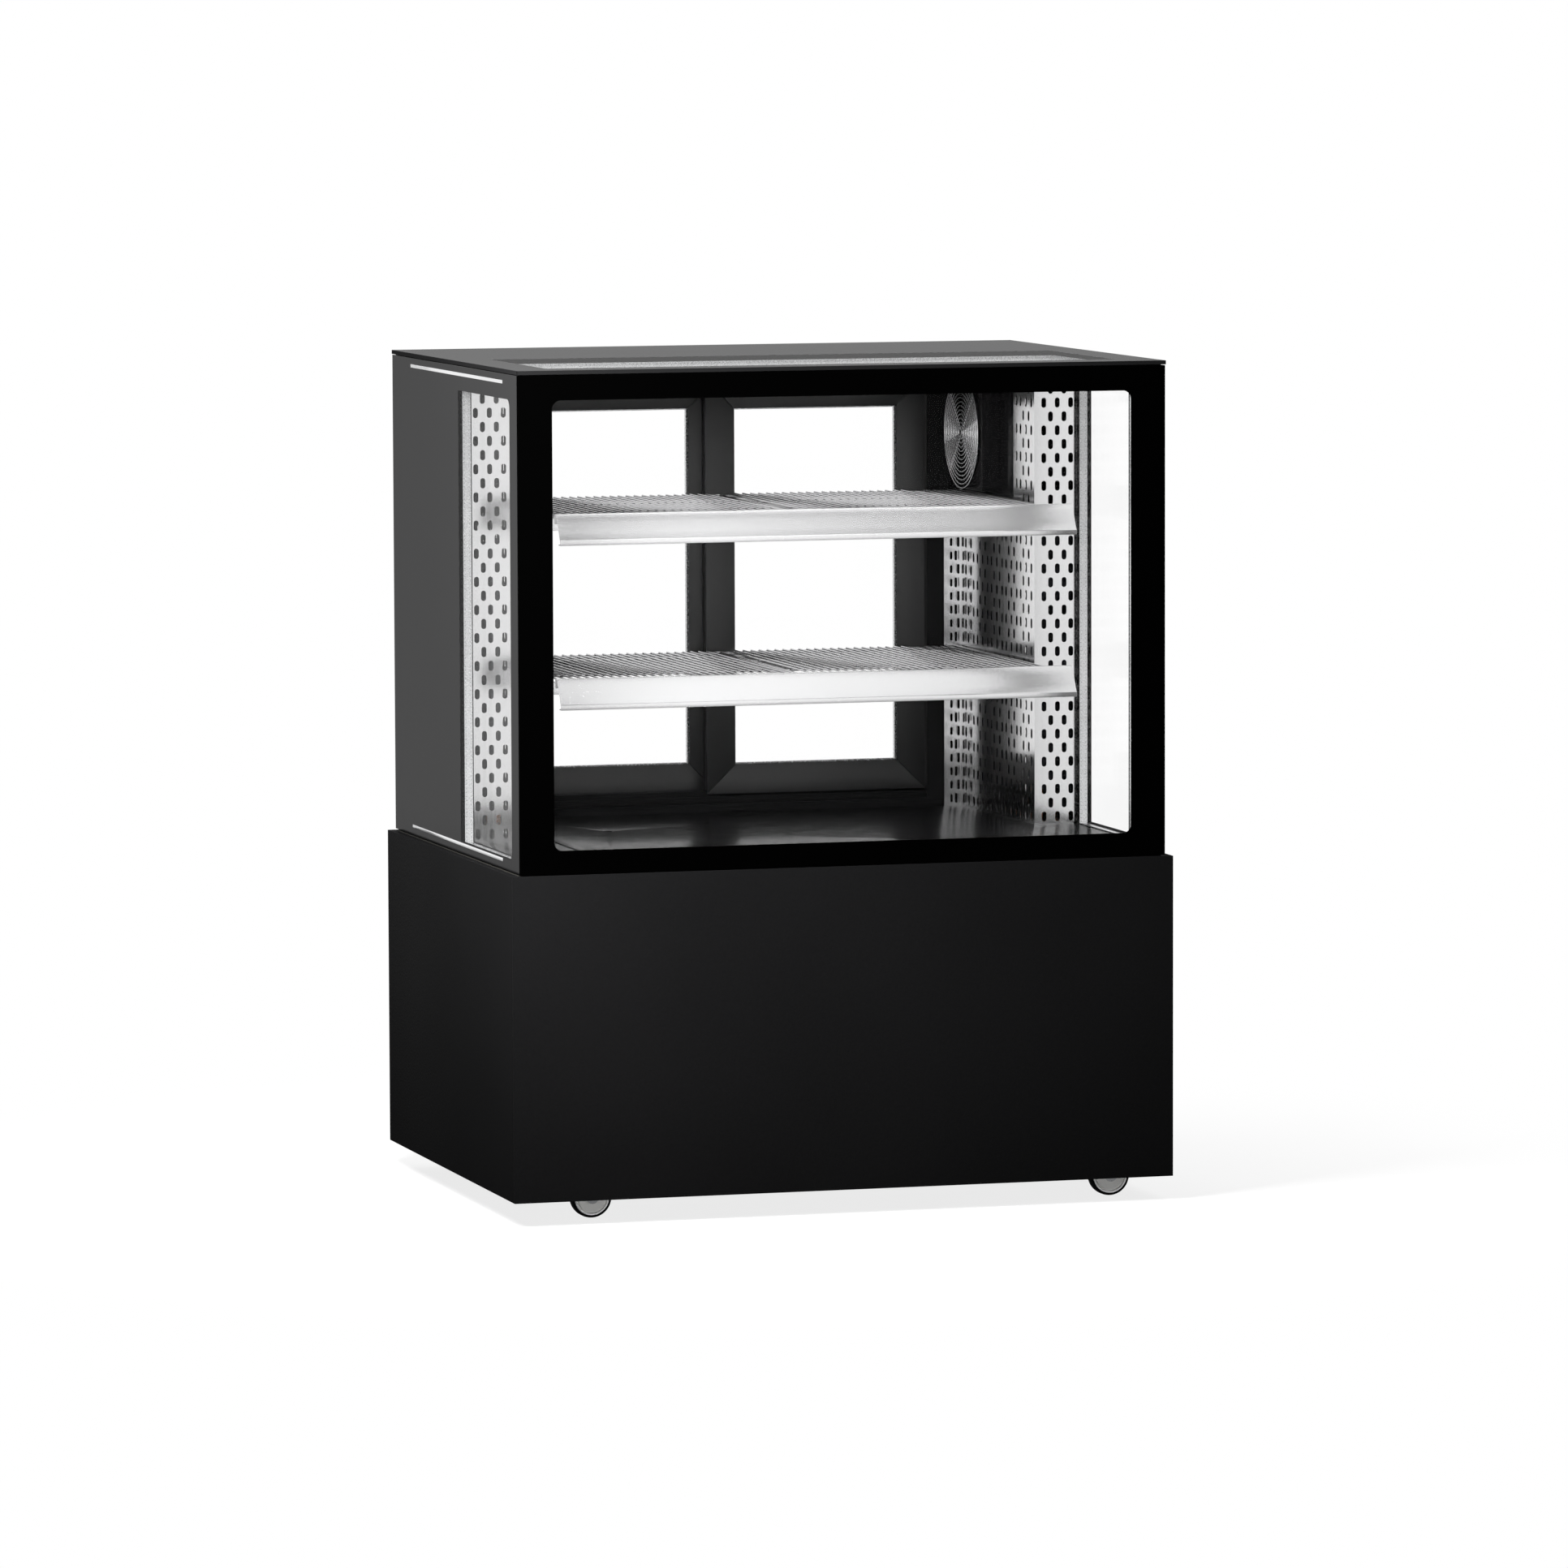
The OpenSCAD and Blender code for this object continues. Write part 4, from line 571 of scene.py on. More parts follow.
def bar_ring(lo, hi, flat, start, end, bar, edge=0.0):
    """A rectangular ring of flat-sided bar just inside a box's outline, between two planes."""
    u, v = others(flat)
    bm = bmesh.new()
    loops = []
    for inset in (0.0, bar):
        corners = ((lo[u] + inset, lo[v] + inset), (hi[u] - inset, lo[v] + inset),
                   (hi[u] - inset, hi[v] - inset), (lo[u] + inset, hi[v] - inset))
        for level in (start, end):
            loops.append([bm.verts.new(at(flat, a, b, level)) for a, b in corners])
    out_low, out_high, in_low, in_high = loops
    for i in range(4):
        j = (i + 1) % 4
        for a, b in ((out_low, in_low), (in_low, in_high), (in_high, out_high), (out_high, out_low)):
            bm.faces.new((a[i], a[j], b[j], b[i]))
    if edge:
        bmesh.ops.bevel(bm, geom=bm.edges[:], offset=edge, segments=1, affect="EDGES")
    return bm


def mirrored(outer_half):
    """A closed section from its outer half, which runs away from the axis."""
    return outer_half + [(radius, -offset) for radius, offset in reversed(outer_half)]


def lathe(section, centre, axis=Y, steps=72):
    """A closed section of (radius, offset) points turned about an axis through the centre."""
    bm = bmesh.new()
    angles = [2 * math.pi * k / steps for k in range(steps)]
    rings = []
    for radius, offset in section:
        rings.append([bm.verts.new(turned(centre, axis, radius, angle, offset)) for angle in angles])
    for one, two in zip(rings, rings[1:] + rings[:1]):
        for k in range(steps):
            m = (k + 1) % steps
            bm.faces.new((one[k], one[m], two[m], two[k]))
    return bm


# ---------- geometry node trees ----------


def new_tree(name, **inputs):
    """An empty tree with named inputs; whole numbers become integer inputs."""
    tree = bpy.data.node_groups.new(name, "GeometryNodeTree")
    for key, value in inputs.items():
        kind = "NodeSocketInt" if isinstance(value, int) else "NodeSocketFloat"
        socket = tree.interface.new_socket(name=key, in_out="INPUT", socket_type=kind)
        socket.default_value = value
    tree.interface.new_socket(name="Geometry", in_out="OUTPUT", socket_type="NodeSocketGeometry")
    return tree, add(tree, "NodeGroupInput").outputs


def close_tree(tree, geometry, material):
    real = out(tree, "GeometryNodeRealizeInstances", {"Geometry": geometry})
    painted = out(tree, "GeometryNodeSetMaterial", {"Geometry": real, "Material": material})
    add(tree, "NodeGroupOutput", {"Geometry": painted})
    return tree


def maths(tree, operation, a, b=0.0):
    return out(tree, "ShaderNodeMath", {0: a, 1: b}, operation=operation)


def times(tree, a, b):
    return maths(tree, "MULTIPLY", a, b)


def vector(tree, x=0.0, y=0.0, z=0.0):
    return out(tree, "ShaderNodeCombineXYZ", {0: x, 1: y, 2: z})


def opposite(tree, a):
    return times(tree, a, -1.0)


def rectangle(tree, width, height):
    return out(tree, "GeometryNodeCurvePrimitiveQuadrilateral", {"Width": width, "Height": height})


def straight(tree, start, end):
    return out(tree, "GeometryNodeCurvePrimitiveLine", {"Start": start, "End": end})


def row_of(tree, count, start, step):
    return out(tree, "GeometryNodeMeshLine", {"Count": count, "Start Location": start, "Offset": step})


def repeated(tree, points, shape, **more):
    return out(tree, "GeometryNodeInstanceOnPoints", {"Points": points, "Instance": shape, **more})


def round_wire(tree, curve, diameter, sides=10):
    radius = times(tree, diameter, 0.5)
    section = out(tree, "GeometryNodeCurvePrimitiveCircle", {"Resolution": sides, "Radius": radius})
    return out(tree, "GeometryNodeCurveToMesh", {"Curve": curve, "Profile Curve": section, "Fill Caps": True})


def join(tree, *parts):
    made = add(tree, "GeometryNodeJoinGeometry")
    for part in parts:
        tree.links.new(part, made.inputs[0])
    return made.outputs[0]


def guard_tree(material):
    """Rings of round wire in one plane and crossed struts behind them."""
    tree, given = new_tree("fan_guard", Rings=13, Radius=0.084, Pitch=0.0062, Wire=0.0018, Depth=0.0012)
    points = out(tree, "GeometryNodePoints", {"Count": given["Rings"]})
    index = out(tree, "GeometryNodeInputIndex")
    radius = maths(tree, "SUBTRACT", given["Radius"], times(tree, index, given["Pitch"]))
    circle = out(tree, "GeometryNodeCurvePrimitiveCircle", {"Resolution": 72, "Radius": 1.0})
    rings = repeated(tree, points, circle, Scale=vector(tree, radius, radius, 1.0))
    rings = out(tree, "GeometryNodeRealizeInstances", {"Geometry": rings})
    parts = [round_wire(tree, rings, given["Wire"])]
    for turn in (45, 135):
        across = times(tree, given["Radius"], math.cos(math.radians(turn)))
        up = times(tree, given["Radius"], math.sin(math.radians(turn)))
        strut = straight(tree, vector(tree, across, up, given["Depth"]),
                         vector(tree, opposite(tree, across), opposite(tree, up), given["Depth"]))
        parts.append(round_wire(tree, strut, given["Wire"]))
    return close_tree(tree, join(tree, *parts), material)


def rack_tree(material):
    """A rim of thick wire with rounded corners, thin wires over it and two ties under them."""
    tree, given = new_tree("wire_rack", Width=0.37, Depth=0.4, Wires=28, Wire=0.0025, Rim=0.005, Corner=0.008)
    seat = 0.45  # share of both diameters by which the wires lie over the rim, a little sunk into it
    tie_extra = 0.001  # a tie is thicker than a wire by this much
    outline = out(tree, "GeometryNodeFilletCurve", {
        "Curve": rectangle(tree, given["Width"], given["Depth"]), "Radius": given["Corner"],
        "Count": 6}, mode="POLY")
    half_depth = times(tree, given["Depth"], 0.5)
    half_width = times(tree, given["Width"], 0.5)
    rise = times(tree, maths(tree, "ADD", given["Rim"], given["Wire"]), seat)
    step = maths(tree, "DIVIDE", given["Width"], maths(tree, "ADD", given["Wires"], 1.0))
    first = vector(tree, maths(tree, "SUBTRACT", step, half_width), 0.0, rise)
    wire = straight(tree, vector(tree, y=opposite(tree, half_depth)), vector(tree, y=half_depth))
    row = row_of(tree, given["Wires"], first, vector(tree, x=step))
    wires = repeated(tree, row, round_wire(tree, wire, given["Wire"], 8))
    tie = straight(tree, vector(tree, x=opposite(tree, half_width)), vector(tree, x=half_width))
    sixth = maths(tree, "DIVIDE", given["Depth"], 6.0)
    pair = row_of(tree, 2, vector(tree, y=opposite(tree, sixth)), vector(tree, y=times(tree, sixth, 2.0)))
    ties = repeated(tree, pair, round_wire(tree, tie, maths(tree, "ADD", given["Wire"], tie_extra), 8))
    return close_tree(tree, join(tree, round_wire(tree, outline, given["Rim"], 12), wires, ties), material)


def dots_tree(material):
    """Two rows of small perforations round a rectangle."""
    tree, given = new_tree("spacer_dots", Width=0.87, Height=0.65, Pitch=0.006, Gap=0.007, Dot=0.0006)
    outline = rectangle(tree, given["Width"], given["Height"])
    dots = out(tree, "GeometryNodeResampleCurve", {"Curve": outline, "Length": given["Pitch"]}, mode="LENGTH")
    bead = out(tree, "GeometryNodeMeshIcoSphere", {"Radius": given["Dot"], "Subdivisions": 1})
    made = []
    for side in (-0.5, 0.5):
        shift = vector(tree, z=times(tree, given["Gap"], side))
        row = out(tree, "GeometryNodeTransform", {"Geometry": dots, "Translation": shift})
        made.append(repeated(tree, row, bead))
    return close_tree(tree, join(tree, *made), material)


def grow(tree, places, **values):
    """The plain mesh that a tree makes with these values, repeated at each place."""
    host = new_object("seed", bpy.data.meshes.new("seed"))
    modifier = host.modifiers.new("grow", "NODES")
    modifier.node_group = tree
    for item in tree.interface.items_tree:
        if item.in_out == "INPUT" and item.name in values:
            modifier[item.identifier] = values[item.name]
    made = bpy.data.meshes.new_from_object(host.evaluated_get(bpy.context.evaluated_depsgraph_get()))
    host.modifiers.clear()
    bpy.data.objects.remove(host)
    bm = bmesh.new()
    for matrix in places:
        copy = made.copy()
        copy.transform(matrix)
        bm.from_mesh(copy)
        bpy.data.meshes.remove(copy)
    materials = list(made.materials)
    mesh = mesh_from(bm, tree.name)
    for material in materials:
        mesh.materials.append(material)
    return mesh


# ---------- pieces ----------


class DELI_OT_base(bpy.types.Operator):
    """Powder-coated panels, grille, chassis and insulated floor"""
    bl_idname = "deli.base"
    bl_label = "Base cabinet"

    def execute(self, context):
        for node in ("front_panel", "left_panel", "right_panel", "rear_panel", "rear_grille"):
            refine(node, coat_black(), edge=0.0005)
        refine("chassis", galvanised(), edge=0.0004)
        refine("insulated_floor", foam(), edge=0.0008)
        return {"FINISHED"}


class DELI_OT_machine(bpy.types.Operator):
    """Compressor, condenser, pipework, drip tray and controls"""
    bl_idname = "deli.machine"
    bl_label = "Machine"

    def execute(self, context):
        refine("compressor", black_enamel(), edge=0.001)
        dress("condenser", condenser_fins())
        refine("condenser_motor", black_enamel(), edge=0.001)
        self.sleeve("refrigerant_lines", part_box("deck_tray")[0].z)
        refine("drip_tray", galvanised(), edge=0.0004)
        refine("control_panel", black_plastic(), edge=0.0004)
        refine("light_switch", switch_red(), edge=0.0006)
        refine("cable_gland", black_plastic(), edge=0.0005)
        return {"FINISHED"}

    def sleeve(self, node, height):
        """Bare copper below the display floor and black sleeving over it."""
        dress(node, copper())
        data = NODES[node].data
        data.materials.append(pipe_sleeve())
        for polygon in data.polygons:
            polygon.material_index = 1 if polygon.center.z > height else 0


TYRE_T = 0.0035  # thickness of a tyre over its disc
AXLE_BORE = 0.00305  # radius of the bore in a wheel disc


def disc_section(half, rim):
    """Outer half of a wheel disc's section: hub, dished web, groove for the ring and outer band."""
    dish, foot, groove = half - 0.0022, half - 0.0026, half - 0.0062
    hub, web, groove_in, groove_out = 0.0082, 0.0208, 0.0211, 0.0234
    return [(AXLE_BORE, half), (hub - 0.0007, half), (hub, half - 0.0006), (hub + 0.0004, foot),
            (web - 0.0008, dish), (web, foot), (groove_in, groove), (groove_out, groove),
            (groove_out + 0.0002, foot), (rim - 0.0002, dish)]


def ring_section(half, side):
    """Section of the metal ring outside the groove, on one side of a wheel."""
    inner, outer = 0.0233, 0.0263
    points = ((inner, 0.0030), (inner + 0.0001, 0.0012), (inner + 0.0007, 0.0004),
              (outer - 0.0007, 0.0003), (outer - 0.0001, 0.0010), (outer, 0.0019))
    return [(radius, side * (half - depth)) for radius, depth in points]


def tread_section(half, rim, outer):
    """Outer half of a tyre's section: its side, its rounded shoulder and its tread."""
    return [(rim, half - 0.0004), (rim + 0.0016, half), (outer - 0.0010, half - 0.0010),
            (outer - 0.0003, half - 0.0026), (outer, half - 0.0055)]


class DELI_OT_casters(bpy.types.Operator):
    """Casters with turned wheels, metal rings and tyres, and the brake pedals"""
    bl_idname = "deli.casters"
    bl_label = "Casters"

    def execute(self, context):
        refine("caster_plates", zinc(), edge=0.0004)
        for corner in CORNERS:
            refine("fork_" + corner, zinc(), edge=0.0004)
            self.wheel(corner)
        for side in SIDES:
            refine("brake_" + side, black_plastic(), edge=0.0006)
        return {"FINISHED"}

    def wheel(self, corner):
        """A disc, a metal ring on each side of it and a tyre, turned round the axle."""
        body = "roller_" + corner
        lo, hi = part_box("tyre_" + corner)
        hub = (lo + hi) / 2
        half, outer = (hi.y - lo.y) / 2, (hi.z - lo.z) / 2
        rim = outer - TYRE_T
        disc = lathe(mirrored(disc_section(half, rim)), hub)
        piece("wheel_disc_" + corner, disc, body, "wheel", "wheel_" + corner, materials=[wheel_plastic()])
        rings = bmesh.new()
        for side in (-1, 1):
            gather(rings, lathe(ring_section(half, side), hub))
        piece("wheel_rings_" + corner, rings, body, "caster_steel", materials=[wheel_ring()])
        tyre = lathe(mirrored(tread_section(half, rim, outer)), hub, steps=96)
        piece("tread_" + corner, tyre, body, "tyre", "tyre_" + corner, materials=[rubber()])


SPACER_W = 0.007  # width of a spacer's bar
SEAL_W, SEAL_T = 0.0076, 0.0012  # width and thickness of the sealant on a spacer


class DELI_OT_panes(bpy.types.Operator):
    """Front, side and roof panes with printed borders, inner panes, spacers and trims"""
    bl_idname = "deli.panes"
    bl_label = "Panes"

    def execute(self, context):
        s = sizes()
        r = s.corner
        (lo, hi), inner = solids("front_glass")[:2]
        hole = (lo.x + s.border_side, hi.x - s.border_side, lo.z + s.border_low, hi.z - s.border_top)
        window_pane("front_pane", "front_glass", (lo, hi), Y, hole, (r, r, r, r), front_print())
        plate("front_inner_pane", inner, "case", "glass", clear_glass())
        for side in SIDES:
            (lo, hi), inner = solids(side + "_glass")[:2]
            start = lo.y + s.side_front
            hole = (start, start + s.side_depth, lo.z + s.side_low, hi.z - s.border_top)
            window_pane(side + "_pane", side + "_glass", (lo, hi), X, hole, (r, 0, 0, r), side_print_and_sheen())
            plate(side + "_inner_pane", inner, "case", "glass", clear_glass())
        (lo, hi), inner = solids("top_glass")[:2]
        start = lo.y + s.roof_front
        hole = (lo.x + s.roof_side, hi.x - s.roof_side, start, start + s.roof_depth)
        window_pane("roof_pane", "top_glass", (lo, hi), Z, hole, (0, 0, 0, 0), roof_print_and_sheen())
        plate("roof_inner_pane", inner, "case", "glass", clear_glass())
        refine("spacer_bars", spacer_metal(), edge=0.0003)
        refine("side_trims", polished_strip(), edge=0.0002)
        self.perforate(s)
        self.seal()
        return {"FINISHED"}

    def perforate(self, s):
        """Dotted lines of dark beads, painted shade for the holes, on the faces of the spacers that look into
        the windows.
        """
        tree = dots_tree(perforation())
        for number, (lo, hi) in enumerate(solids("spacer_bars")):
            size = hi - lo
            flat = thin_axis(size)
            u, v = others(flat)
            matrix = Matrix.Identity(4)
            for column, axis in enumerate((u, v, flat)):
                matrix.col[column][:3] = [float(i == axis) for i in (X, Y, Z)]
            matrix.translation = (lo + hi) / 2
            mesh = grow(tree, [matrix], Width=size[u] - 2 * SPACER_W, Height=size[v] - 2 * SPACER_W,
                        Pitch=s.dot_pitch, Gap=size[flat] * 0.5, Dot=s.dot)
            mesh.name = f"spacer_dots_{number}"
            settle(mesh.name, mesh, "case", "spacer")

    def seal(self):
        """Black sealant on both flat sides of each spacer, a little wider than the bar."""
        bm = bmesh.new()
        for lo, hi in solids("spacer_bars"):
            flat = thin_axis(hi - lo)
            for level in (lo[flat], hi[flat] - SEAL_T):
                gather(bm, bar_ring(lo, hi, flat, level, level + SEAL_T, SEAL_W))
        piece("spacer_sealant", bm, "case", "spacer", materials=[sealant()])


class DELI_OT_display(bpy.types.Operator):
    """Frame profiles, liner, display floor, light and door tracks"""
    bl_idname = "deli.display"
    bl_label = "Display frame"

    def execute(self, context):
        refine("glass_frame", dark_profile(), edge=0.0006)
        refine("rear_frame", dark_profile(), edge=0.0008)
        refine("insulation_panels", gloss_liner(), edge=0.0006)
        refine("deck_tray", gloss_liner(), edge=0.0008, segments=3)
        dress("led_light", light_channel())
        refine("door_tracks", dark_profile(), edge=0.0003)
        return {"FINISHED"}


DOOR_PANE_T = 0.004  # thickness of each pane in a door
DOOR_SPACER_W = 0.010  # width of the spacer between them
DOOR_SPACER_GAP = 0.0001  # space between the spacer and each pane


class DELI_OT_doors(bpy.types.Operator):
    """Sliding doors with framed double panes and recessed pulls"""
    bl_idname = "deli.doors"
    bl_label = "Sliding doors"

    def execute(self, context):
        for side in SIDES:
            body = side + "_door"
            refine("door_frame_" + side, door_profile(), edge=0.0008)
            lo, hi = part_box("door_glass_" + side)
            inner = (lo, Vector((hi.x, lo.y + DOOR_PANE_T, hi.z)))
            outer = (Vector((lo.x, hi.y - DOOR_PANE_T, lo.z)), hi)
            plate("door_pane_inner_" + side, inner, body, "door_glass", clear_glass(),
                  replaced=("door_glass_" + side,))
            plate("door_pane_outer_" + side, outer, body, "door_glass", clear_glass())
            start, end = inner[1].y + DOOR_SPACER_GAP, outer[0].y - DOOR_SPACER_GAP
            spacer = bar_ring(lo, hi, Y, start, end, DOOR_SPACER_W, edge=0.0003)
            piece("door_spacer_" + side, spacer, body, "spacer", materials=[spacer_metal()])
            refine("door_pull_" + side, black_plastic(), edge=0.0005)
        return {"FINISHED"}


GUARD_EYE = 0.007  # radius inside which a guard has no ring
GUARD_STRUT = 0.0012  # depth at which a guard's struts lie behind its rings
FANS = (("fan_left", X, 0.020), ("fan_right", X, 0.020), ("condenser_blades", Y, 0.025))  # axis, hub
FAN_DEPTH, FAN_REACH = 0.98, 0.985  # shares of the solid wheel's depth and radius that the wheel takes
FAN_BORE = 0.00405  # radius of the bore for the shaft
HUB_EDGE = 0.002  # bevel round a hub
BLADE_T = 0.0016
BLADE_ROOT = 0.001  # how far a blade starts inside the hub
BLADE_ALONG, BLADE_ACROSS = 9, 7  # points of a blade's grid
BLADE_SWEEP = 0.42  # turn of a blade's tip against its root, in radians
BLADE_WIDTH, BLADE_FLARE = 0.50, 0.10  # half the angle a blade takes at its root, and what its tip adds
BLADE_PITCH, BLADE_TWIST = 0.74, 0.2  # rise over a blade as a share of the depth, and what its tip loses
BLADE_CAMBER = 0.06  # bulge of a blade, as a share of the depth
BLADE_TIP = 0.94  # share of its width that a blade keeps at its tip


def blade_faces(bm, centre, axis, start, hub, reach, depth):
    """Both faces of a swept, cambered blade, as rows of points from the hub outwards."""
    faces = []
    for side in (-0.5, 0.5):
        rows = []
        for i in range(BLADE_ALONG):
            t = i / (BLADE_ALONG - 1)
            radius = (hub - BLADE_ROOT) + t * (reach - hub + BLADE_ROOT)
            spread = 2 * (BLADE_WIDTH + BLADE_FLARE * t) * (1.0 if t < 0.9 else BLADE_TIP)
            row = []
            for j in range(BLADE_ACROSS):
                w = j / (BLADE_ACROSS - 1) - 0.5
                angle = start + BLADE_SWEEP * t * t + w * spread
                lift = depth * ((BLADE_PITCH - BLADE_TWIST * t) * w + BLADE_CAMBER * (1 - 4 * w * w))
                row.append(bm.verts.new(turned(centre, axis, radius, angle, lift + side * BLADE_T)))
            rows.append(row)
        faces.append(rows)
    return faces


def blade_edge():
    """Places round a blade's grid, in order."""
    i_end, j_end = BLADE_ALONG - 1, BLADE_ACROSS - 1
    first = [(i, 0) for i in range(i_end)] + [(i_end, j) for j in range(j_end)]
    return first + [(i, j_end) for i in range(i_end, 0, -1)] + [(0, j) for j in range(j_end, 0, -1)]


class DELI_OT_air(bpy.types.Operator):
    """Perforated ducts, fan housings, guards, fan wheels, motors and coils"""
    bl_idname = "deli.air"
    bl_label = "Air ducts and fans"

    def execute(self, context):
        for side in SIDES:
            dress(side + "_duct", duct_steel())
        refine("fan_housings", gloss_housing(), edge=0.0008)
        refine("fan_motors", black_enamel(), edge=0.0008)
        dress("evaporators", coated_coil())
        self.guards(sizes())
        for node, axis, hub in FANS:
            self.fan_wheel(node, axis, hub, sizes().fan_blades)
        return {"FINISHED"}

    def guards(self, s):
        """A wire guard on each housing, its rings towards the display."""
        boxes = solids("fan_guards")
        places = []
        for lo, hi in boxes:
            centre = (lo + hi) / 2
            inward = -1 if centre.x > 0 else 1
            face = lo.x if inward < 0 else hi.x
            turn = Matrix.Rotation(math.radians(90), 4, "Y")
            if inward > 0:
                turn = Matrix.Rotation(math.radians(180), 4, "Z") @ turn
            places.append(Matrix.Translation((face - inward * s.guard_wire / 2, centre.y, centre.z)) @ turn)
        lo, hi = boxes[0]
        radius = (hi.z - lo.z) / 2 - s.guard_wire / 2
        rings = int((radius - GUARD_EYE) / s.guard_pitch) + 1
        mesh = grow(guard_tree(plated()), places, Rings=rings, Radius=radius, Pitch=s.guard_pitch,
                    Wire=s.guard_wire, Depth=GUARD_STRUT)
        settle("guard_wires", mesh, "case", "wire", "fan_guards")

    def fan_wheel(self, node, axis, hub, count):
        """A moulded wheel: a hub with a bore and swept, cambered blades."""
        lo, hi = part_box(node)
        centre, size = (lo + hi) / 2, hi - lo
        depth = size[axis] * FAN_DEPTH
        reach = max(size[i] for i in others(axis)) / 2 * FAN_REACH
        end = depth / 2
        section = [(FAN_BORE, -end), (hub - HUB_EDGE, -end), (hub, -end + HUB_EDGE), (hub, end - HUB_EDGE),
                   (hub - HUB_EDGE, end), (FAN_BORE, end)]
        bm = lathe(section, centre, axis, 48)
        edge = blade_edge()
        for k in range(count):
            faces = blade_faces(bm, centre, axis, 2 * math.pi * k / count, hub, reach, depth)
            for i in range(BLADE_ALONG - 1):
                for j in range(BLADE_ACROSS - 1):
                    for rows in faces:
                        bm.faces.new((rows[i][j], rows[i + 1][j], rows[i + 1][j + 1], rows[i][j + 1]))
            low, high = faces
            for (i, j), (m, n) in zip(edge, edge[1:] + edge[:1]):
                bm.faces.new((low[i][j], low[m][n], high[m][n], high[i][j]))
        piece(node + "_moulded", bm, BODY_OF[node], SLOT_OF[node], node, materials=[matte_plastic()])


RACK_MARGIN = 0.004  # width of a rack that its wires leave free
RACK_CORNER = 0.008  # radius of a rim's corners


class DELI_OT_shelves(bpy.types.Operator):
    """Shelf rails, frames and wire racks"""
    bl_idname = "deli.shelves"
    bl_label = "Shelves"

    def execute(self, context):
        s = sizes()
        refine("shelf_rails", rail_steel(), edge=0.0004, smooth=50)
        refine("shelf_frames", rail_steel(), edge=0.0003)
        tree = rack_tree(rack_wire())
        boxes = solids("wire_racks")
        places = []
        for lo, hi in boxes:
            places.append(Matrix.Translation(((lo.x + hi.x) / 2, (lo.y + hi.y) / 2, lo.z + s.rack_rim / 2)))
        lo, hi = boxes[0]
        width, depth = hi.x - lo.x - s.rack_rim, hi.y - lo.y - s.rack_rim
        wires = int((width - RACK_MARGIN) / s.rack_pitch)
        mesh = grow(tree, places, Width=width, Depth=depth, Wires=wires, Wire=s.rack_wire, Rim=s.rack_rim,
                    Corner=RACK_CORNER)
        settle("rack_wires", mesh, "case", "wire", "wire_racks")
        return {"FINISHED"}


# ---------- stage ----------


MIDDLE = (0.0, 0.0, 0.6)  # what most lamps point at
LAMPS = (  # name, place, width and height, the setting that holds its power, what it points at
    ("key", (-1.1, -1.0, 1.6), (0.7, 0.7), "key", MIDDLE),
    ("fill", (3.0, -3.4, 2.2), (2.6, 2.6), "fill", MIDDLE),
    ("top", (0.0, 0.4, 3.8), (3.0, 2.0), "fill", MIDDLE),
    ("rear", (0.9, 3.4, 2.0), (2.4, 2.0), "rear", MIDDLE),
    ("low", (-0.4, -2.2, 0.14), (1.6, 0.2), "low", (0.0, -0.3, 0.02)),
    ("case_light", (0.0, -0.2, 1.185), (0.8, 0.12), "inside", (0.0, 0.0, 0.0)),
)
CAMERA_PLACE = (-3.782, -13.012, 1.832)
CAMERA_YAW, CAMERA_DIP, CAMERA_ROLL = 16.27, 5.21, -0.20  # degrees
SENSOR_WIDTH = 36.0  # millimetres
FAR = 200.0  # how far the camera sees, in metres
GLASS_LAYERS = 32  # clear surfaces that one ray may pass
FLOOR_SIZE = 40.0
FLOOR_FADE = {"From Min": 0.6, "From Max": 1.5, "To Min": 0.8, "To Max": 1.0}  # glow by distance
FLOOR_GLOSS_PAINTED_SHADE = {"From Min": 1.0, "From Max": 6.0, "To Min": 0.25, "To Max": 1.0}  # and as gloss shows it, dimmer near the case: painted shade in reflections
FLOOR_TONE, FLOOR_BOUNCE = 0.8, 0.12  # grey of the plain floor, and as bounced light meets it


def grey(level):
    return (level, level, level, 1)


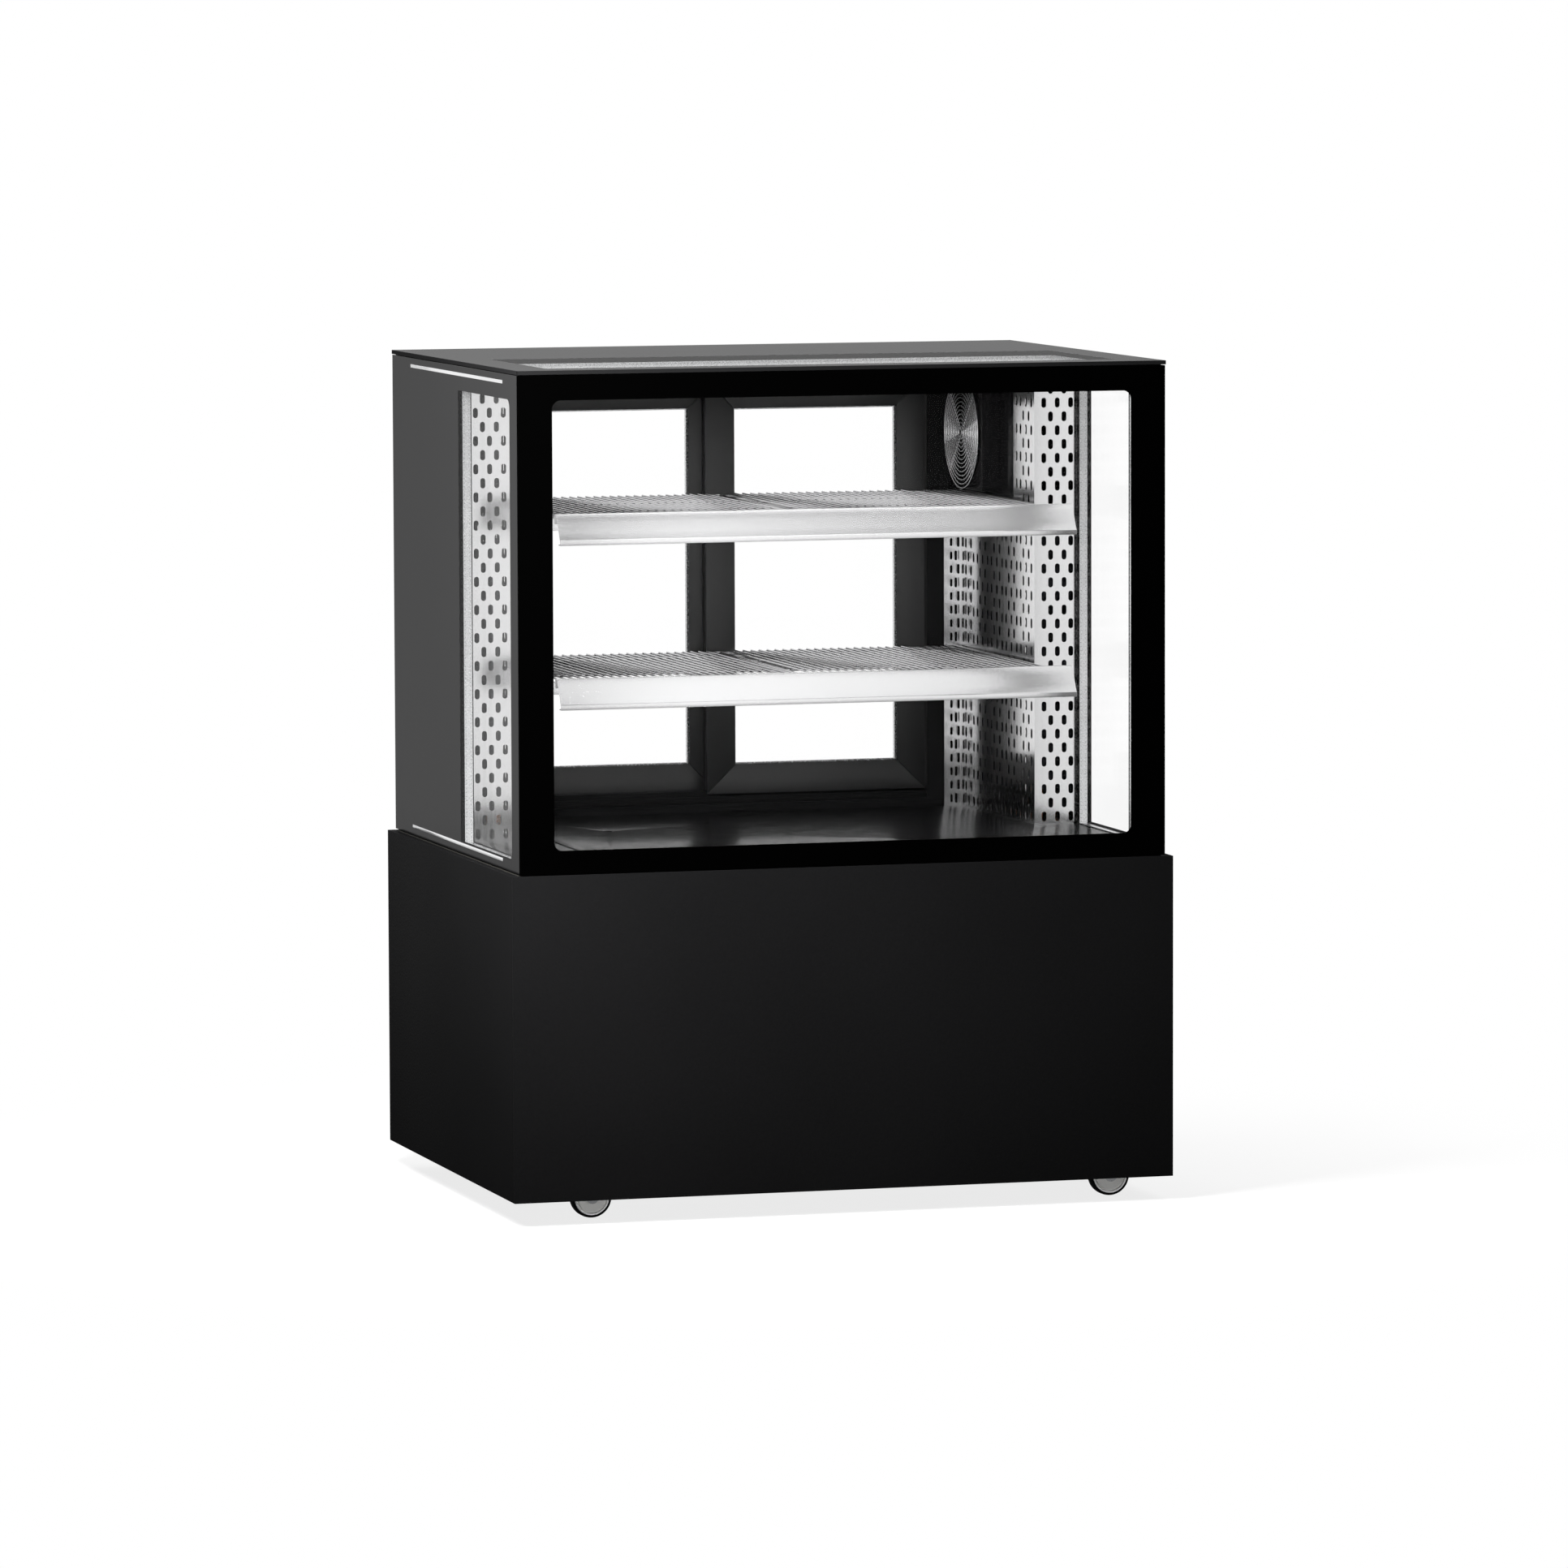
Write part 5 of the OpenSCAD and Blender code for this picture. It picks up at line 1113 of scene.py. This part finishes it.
class DELI_OT_stage(bpy.types.Operator):
    """Pale floor, white surroundings, soft lamps and the camera"""
    bl_idname = "deli.stage"
    bl_label = "Stage"

    def execute(self, context):
        scene = context.scene
        settings = scene.deli_stage
        scene.view_settings.view_transform = "Standard"
        scene.cycles.transparent_max_bounces = GLASS_LAYERS
        self.surroundings(scene, settings)
        self.floor()
        for name, place, size, power_setting, aim in LAMPS:
            self.lamp(name, place, size, getattr(settings, power_setting), aim)
        self.camera(scene, settings)
        return {"FINISHED"}

    def seen(self, tree):
        """1 for rays that show the background: from the camera, off gloss and through glass."""
        path = add(tree, "ShaderNodeLightPath").outputs
        either = maths(tree, "MAXIMUM", path["Is Camera Ray"], path["Is Glossy Ray"])
        return maths(tree, "MAXIMUM", either, path["Is Transmission Ray"])

    def surroundings(self, scene, settings):
        """White where it is seen, and dimmer where it lights the case."""
        world = bpy.data.worlds.new("studio")
        scene.world = world
        world.use_nodes = True
        tree = world.node_tree
        strength = out(tree, "ShaderNodeMix", {0: self.seen(tree), 2: settings.ambient, 3: 1.0})
        light = tree.nodes["Background"]
        light.inputs["Color"].default_value = grey(1)
        tree.links.new(strength, light.inputs["Strength"])

    def floor(self):
        """White to the camera, a little shaded near the case, with painted shade near the case as gloss shows
        it, and dark to bounced light.
        """
        bm = bmesh.new()
        bmesh.ops.create_grid(bm, x_segments=1, y_segments=1, size=FLOOR_SIZE)
        obj = new_object("floor", mesh_from(bm, "floor", outward=False))
        material = new_material("pale_floor")
        tree = material.node_tree
        shader = tree.nodes["Principled BSDF"]
        shader.inputs["Base Color"].default_value = grey(FLOOR_TONE)
        shader.inputs["Roughness"].default_value = 0.9
        shader.inputs["Specular IOR Level"].default_value = 0.0
        glow = out(tree, "ShaderNodeEmission", {"Color": grey(1), "Strength": 1.0})
        place = add(tree, "ShaderNodeTexCoord").outputs["Object"]
        distance = add(tree, "ShaderNodeVectorMath", {0: place}, operation="LENGTH").outputs["Value"]
        fade = out(tree, "ShaderNodeMapRange", {"Value": distance, **FLOOR_FADE},
                   interpolation_type="SMOOTHSTEP")
        share = times(tree, self.seen(tree), fade)
        direct = mix_shaders(tree, share, shader.outputs[0], glow)
        # Painted shade: to glossy rays the floor glows dimmer near the case, so the case reflects a darker
        # floor
        level = out(tree, "ShaderNodeMapRange", {"Value": distance, **FLOOR_GLOSS_PAINTED_SHADE})
        painted_shade_in_gloss = out(tree, "ShaderNodeEmission", {"Color": grey(1), "Strength": level})
        bounced = out(tree, "ShaderNodeBsdfDiffuse", {"Color": grey(FLOOR_BOUNCE)})
        path = add(tree, "ShaderNodeLightPath").outputs
        gloss = mix_shaders(tree, path["Is Glossy Ray"], direct, painted_shade_in_gloss)
        shown = mix_shaders(tree, path["Is Diffuse Ray"], gloss, bounced)
        tree.links.new(shown, tree.nodes["Material Output"].inputs["Surface"])
        obj.data.materials.append(material)

    def lamp(self, name, place, size, strength, aim):
        """A soft rectangular lamp that shows neither in the picture nor in gloss."""
        light = bpy.data.lights.new(name, "AREA")
        light.shape = "RECTANGLE"
        light.size, light.size_y = size
        light.energy = strength
        obj = new_object(name, light)
        obj.location = place
        obj.rotation_euler = (Vector(aim) - Vector(place)).to_track_quat("-Z", "Y").to_euler()
        obj.visible_glossy = False
        obj.visible_camera = False

    def camera(self, scene, settings):
        data = bpy.data.cameras.new("camera")
        data.lens, data.sensor_width = settings.lens, SENSOR_WIDTH
        data.clip_end = FAR
        obj = new_object("camera", data)
        yaw, dip, roll = [math.radians(angle) for angle in (CAMERA_YAW, CAMERA_DIP, CAMERA_ROLL)]
        turn = Matrix.Rotation(-yaw, 4, "Z") @ Matrix.Rotation(math.pi / 2 - dip, 4, "X")
        obj.matrix_world = Matrix.Translation(CAMERA_PLACE) @ turn @ Matrix.Rotation(roll, 4, "Z")
        scene.camera = obj


class DELI_PT_panel(bpy.types.Panel):
    """Lists the deli case's pieces"""
    bl_idname = "DELI_PT_panel"
    bl_label = "Deli case"
    bl_space_type = "VIEW_3D"
    bl_region_type = "UI"
    bl_category = "Deli case"

    def draw(self, context):
        for operator in OPERATORS:
            self.layout.operator(operator.bl_idname)
        for group_name in GROUPS:
            group = getattr(context.scene, group_name)
            box = self.layout.box()
            for name in group.bl_rna.properties.keys():
                if name not in ("rna_type", "name"):
                    box.prop(group, name)


OPERATORS = (DELI_OT_base, DELI_OT_machine, DELI_OT_casters, DELI_OT_panes, DELI_OT_display, DELI_OT_doors,
             DELI_OT_air, DELI_OT_shelves, DELI_OT_stage)
GROUPS = {"deli_sizes": DeliCaseSizes, "deli_colours": DeliCaseColours, "deli_stage": DeliCaseStage}
CLASSES = (*GROUPS.values(), *OPERATORS, DELI_PT_panel)


def register():
    for made in CLASSES:
        bpy.utils.register_class(made)
    for name, group in GROUPS.items():
        setattr(bpy.types.Scene, name, PointerProperty(type=group))


def unregister():
    for name in GROUPS:
        delattr(bpy.types.Scene, name)
    for made in reversed(CLASSES):
        bpy.utils.unregister_class(made)


def main():
    register()
    for operator in OPERATORS:
        group, name = operator.bl_idname.split(".")
        getattr(getattr(bpy.ops, group), name)()


if __name__ == "__main__":
    main()
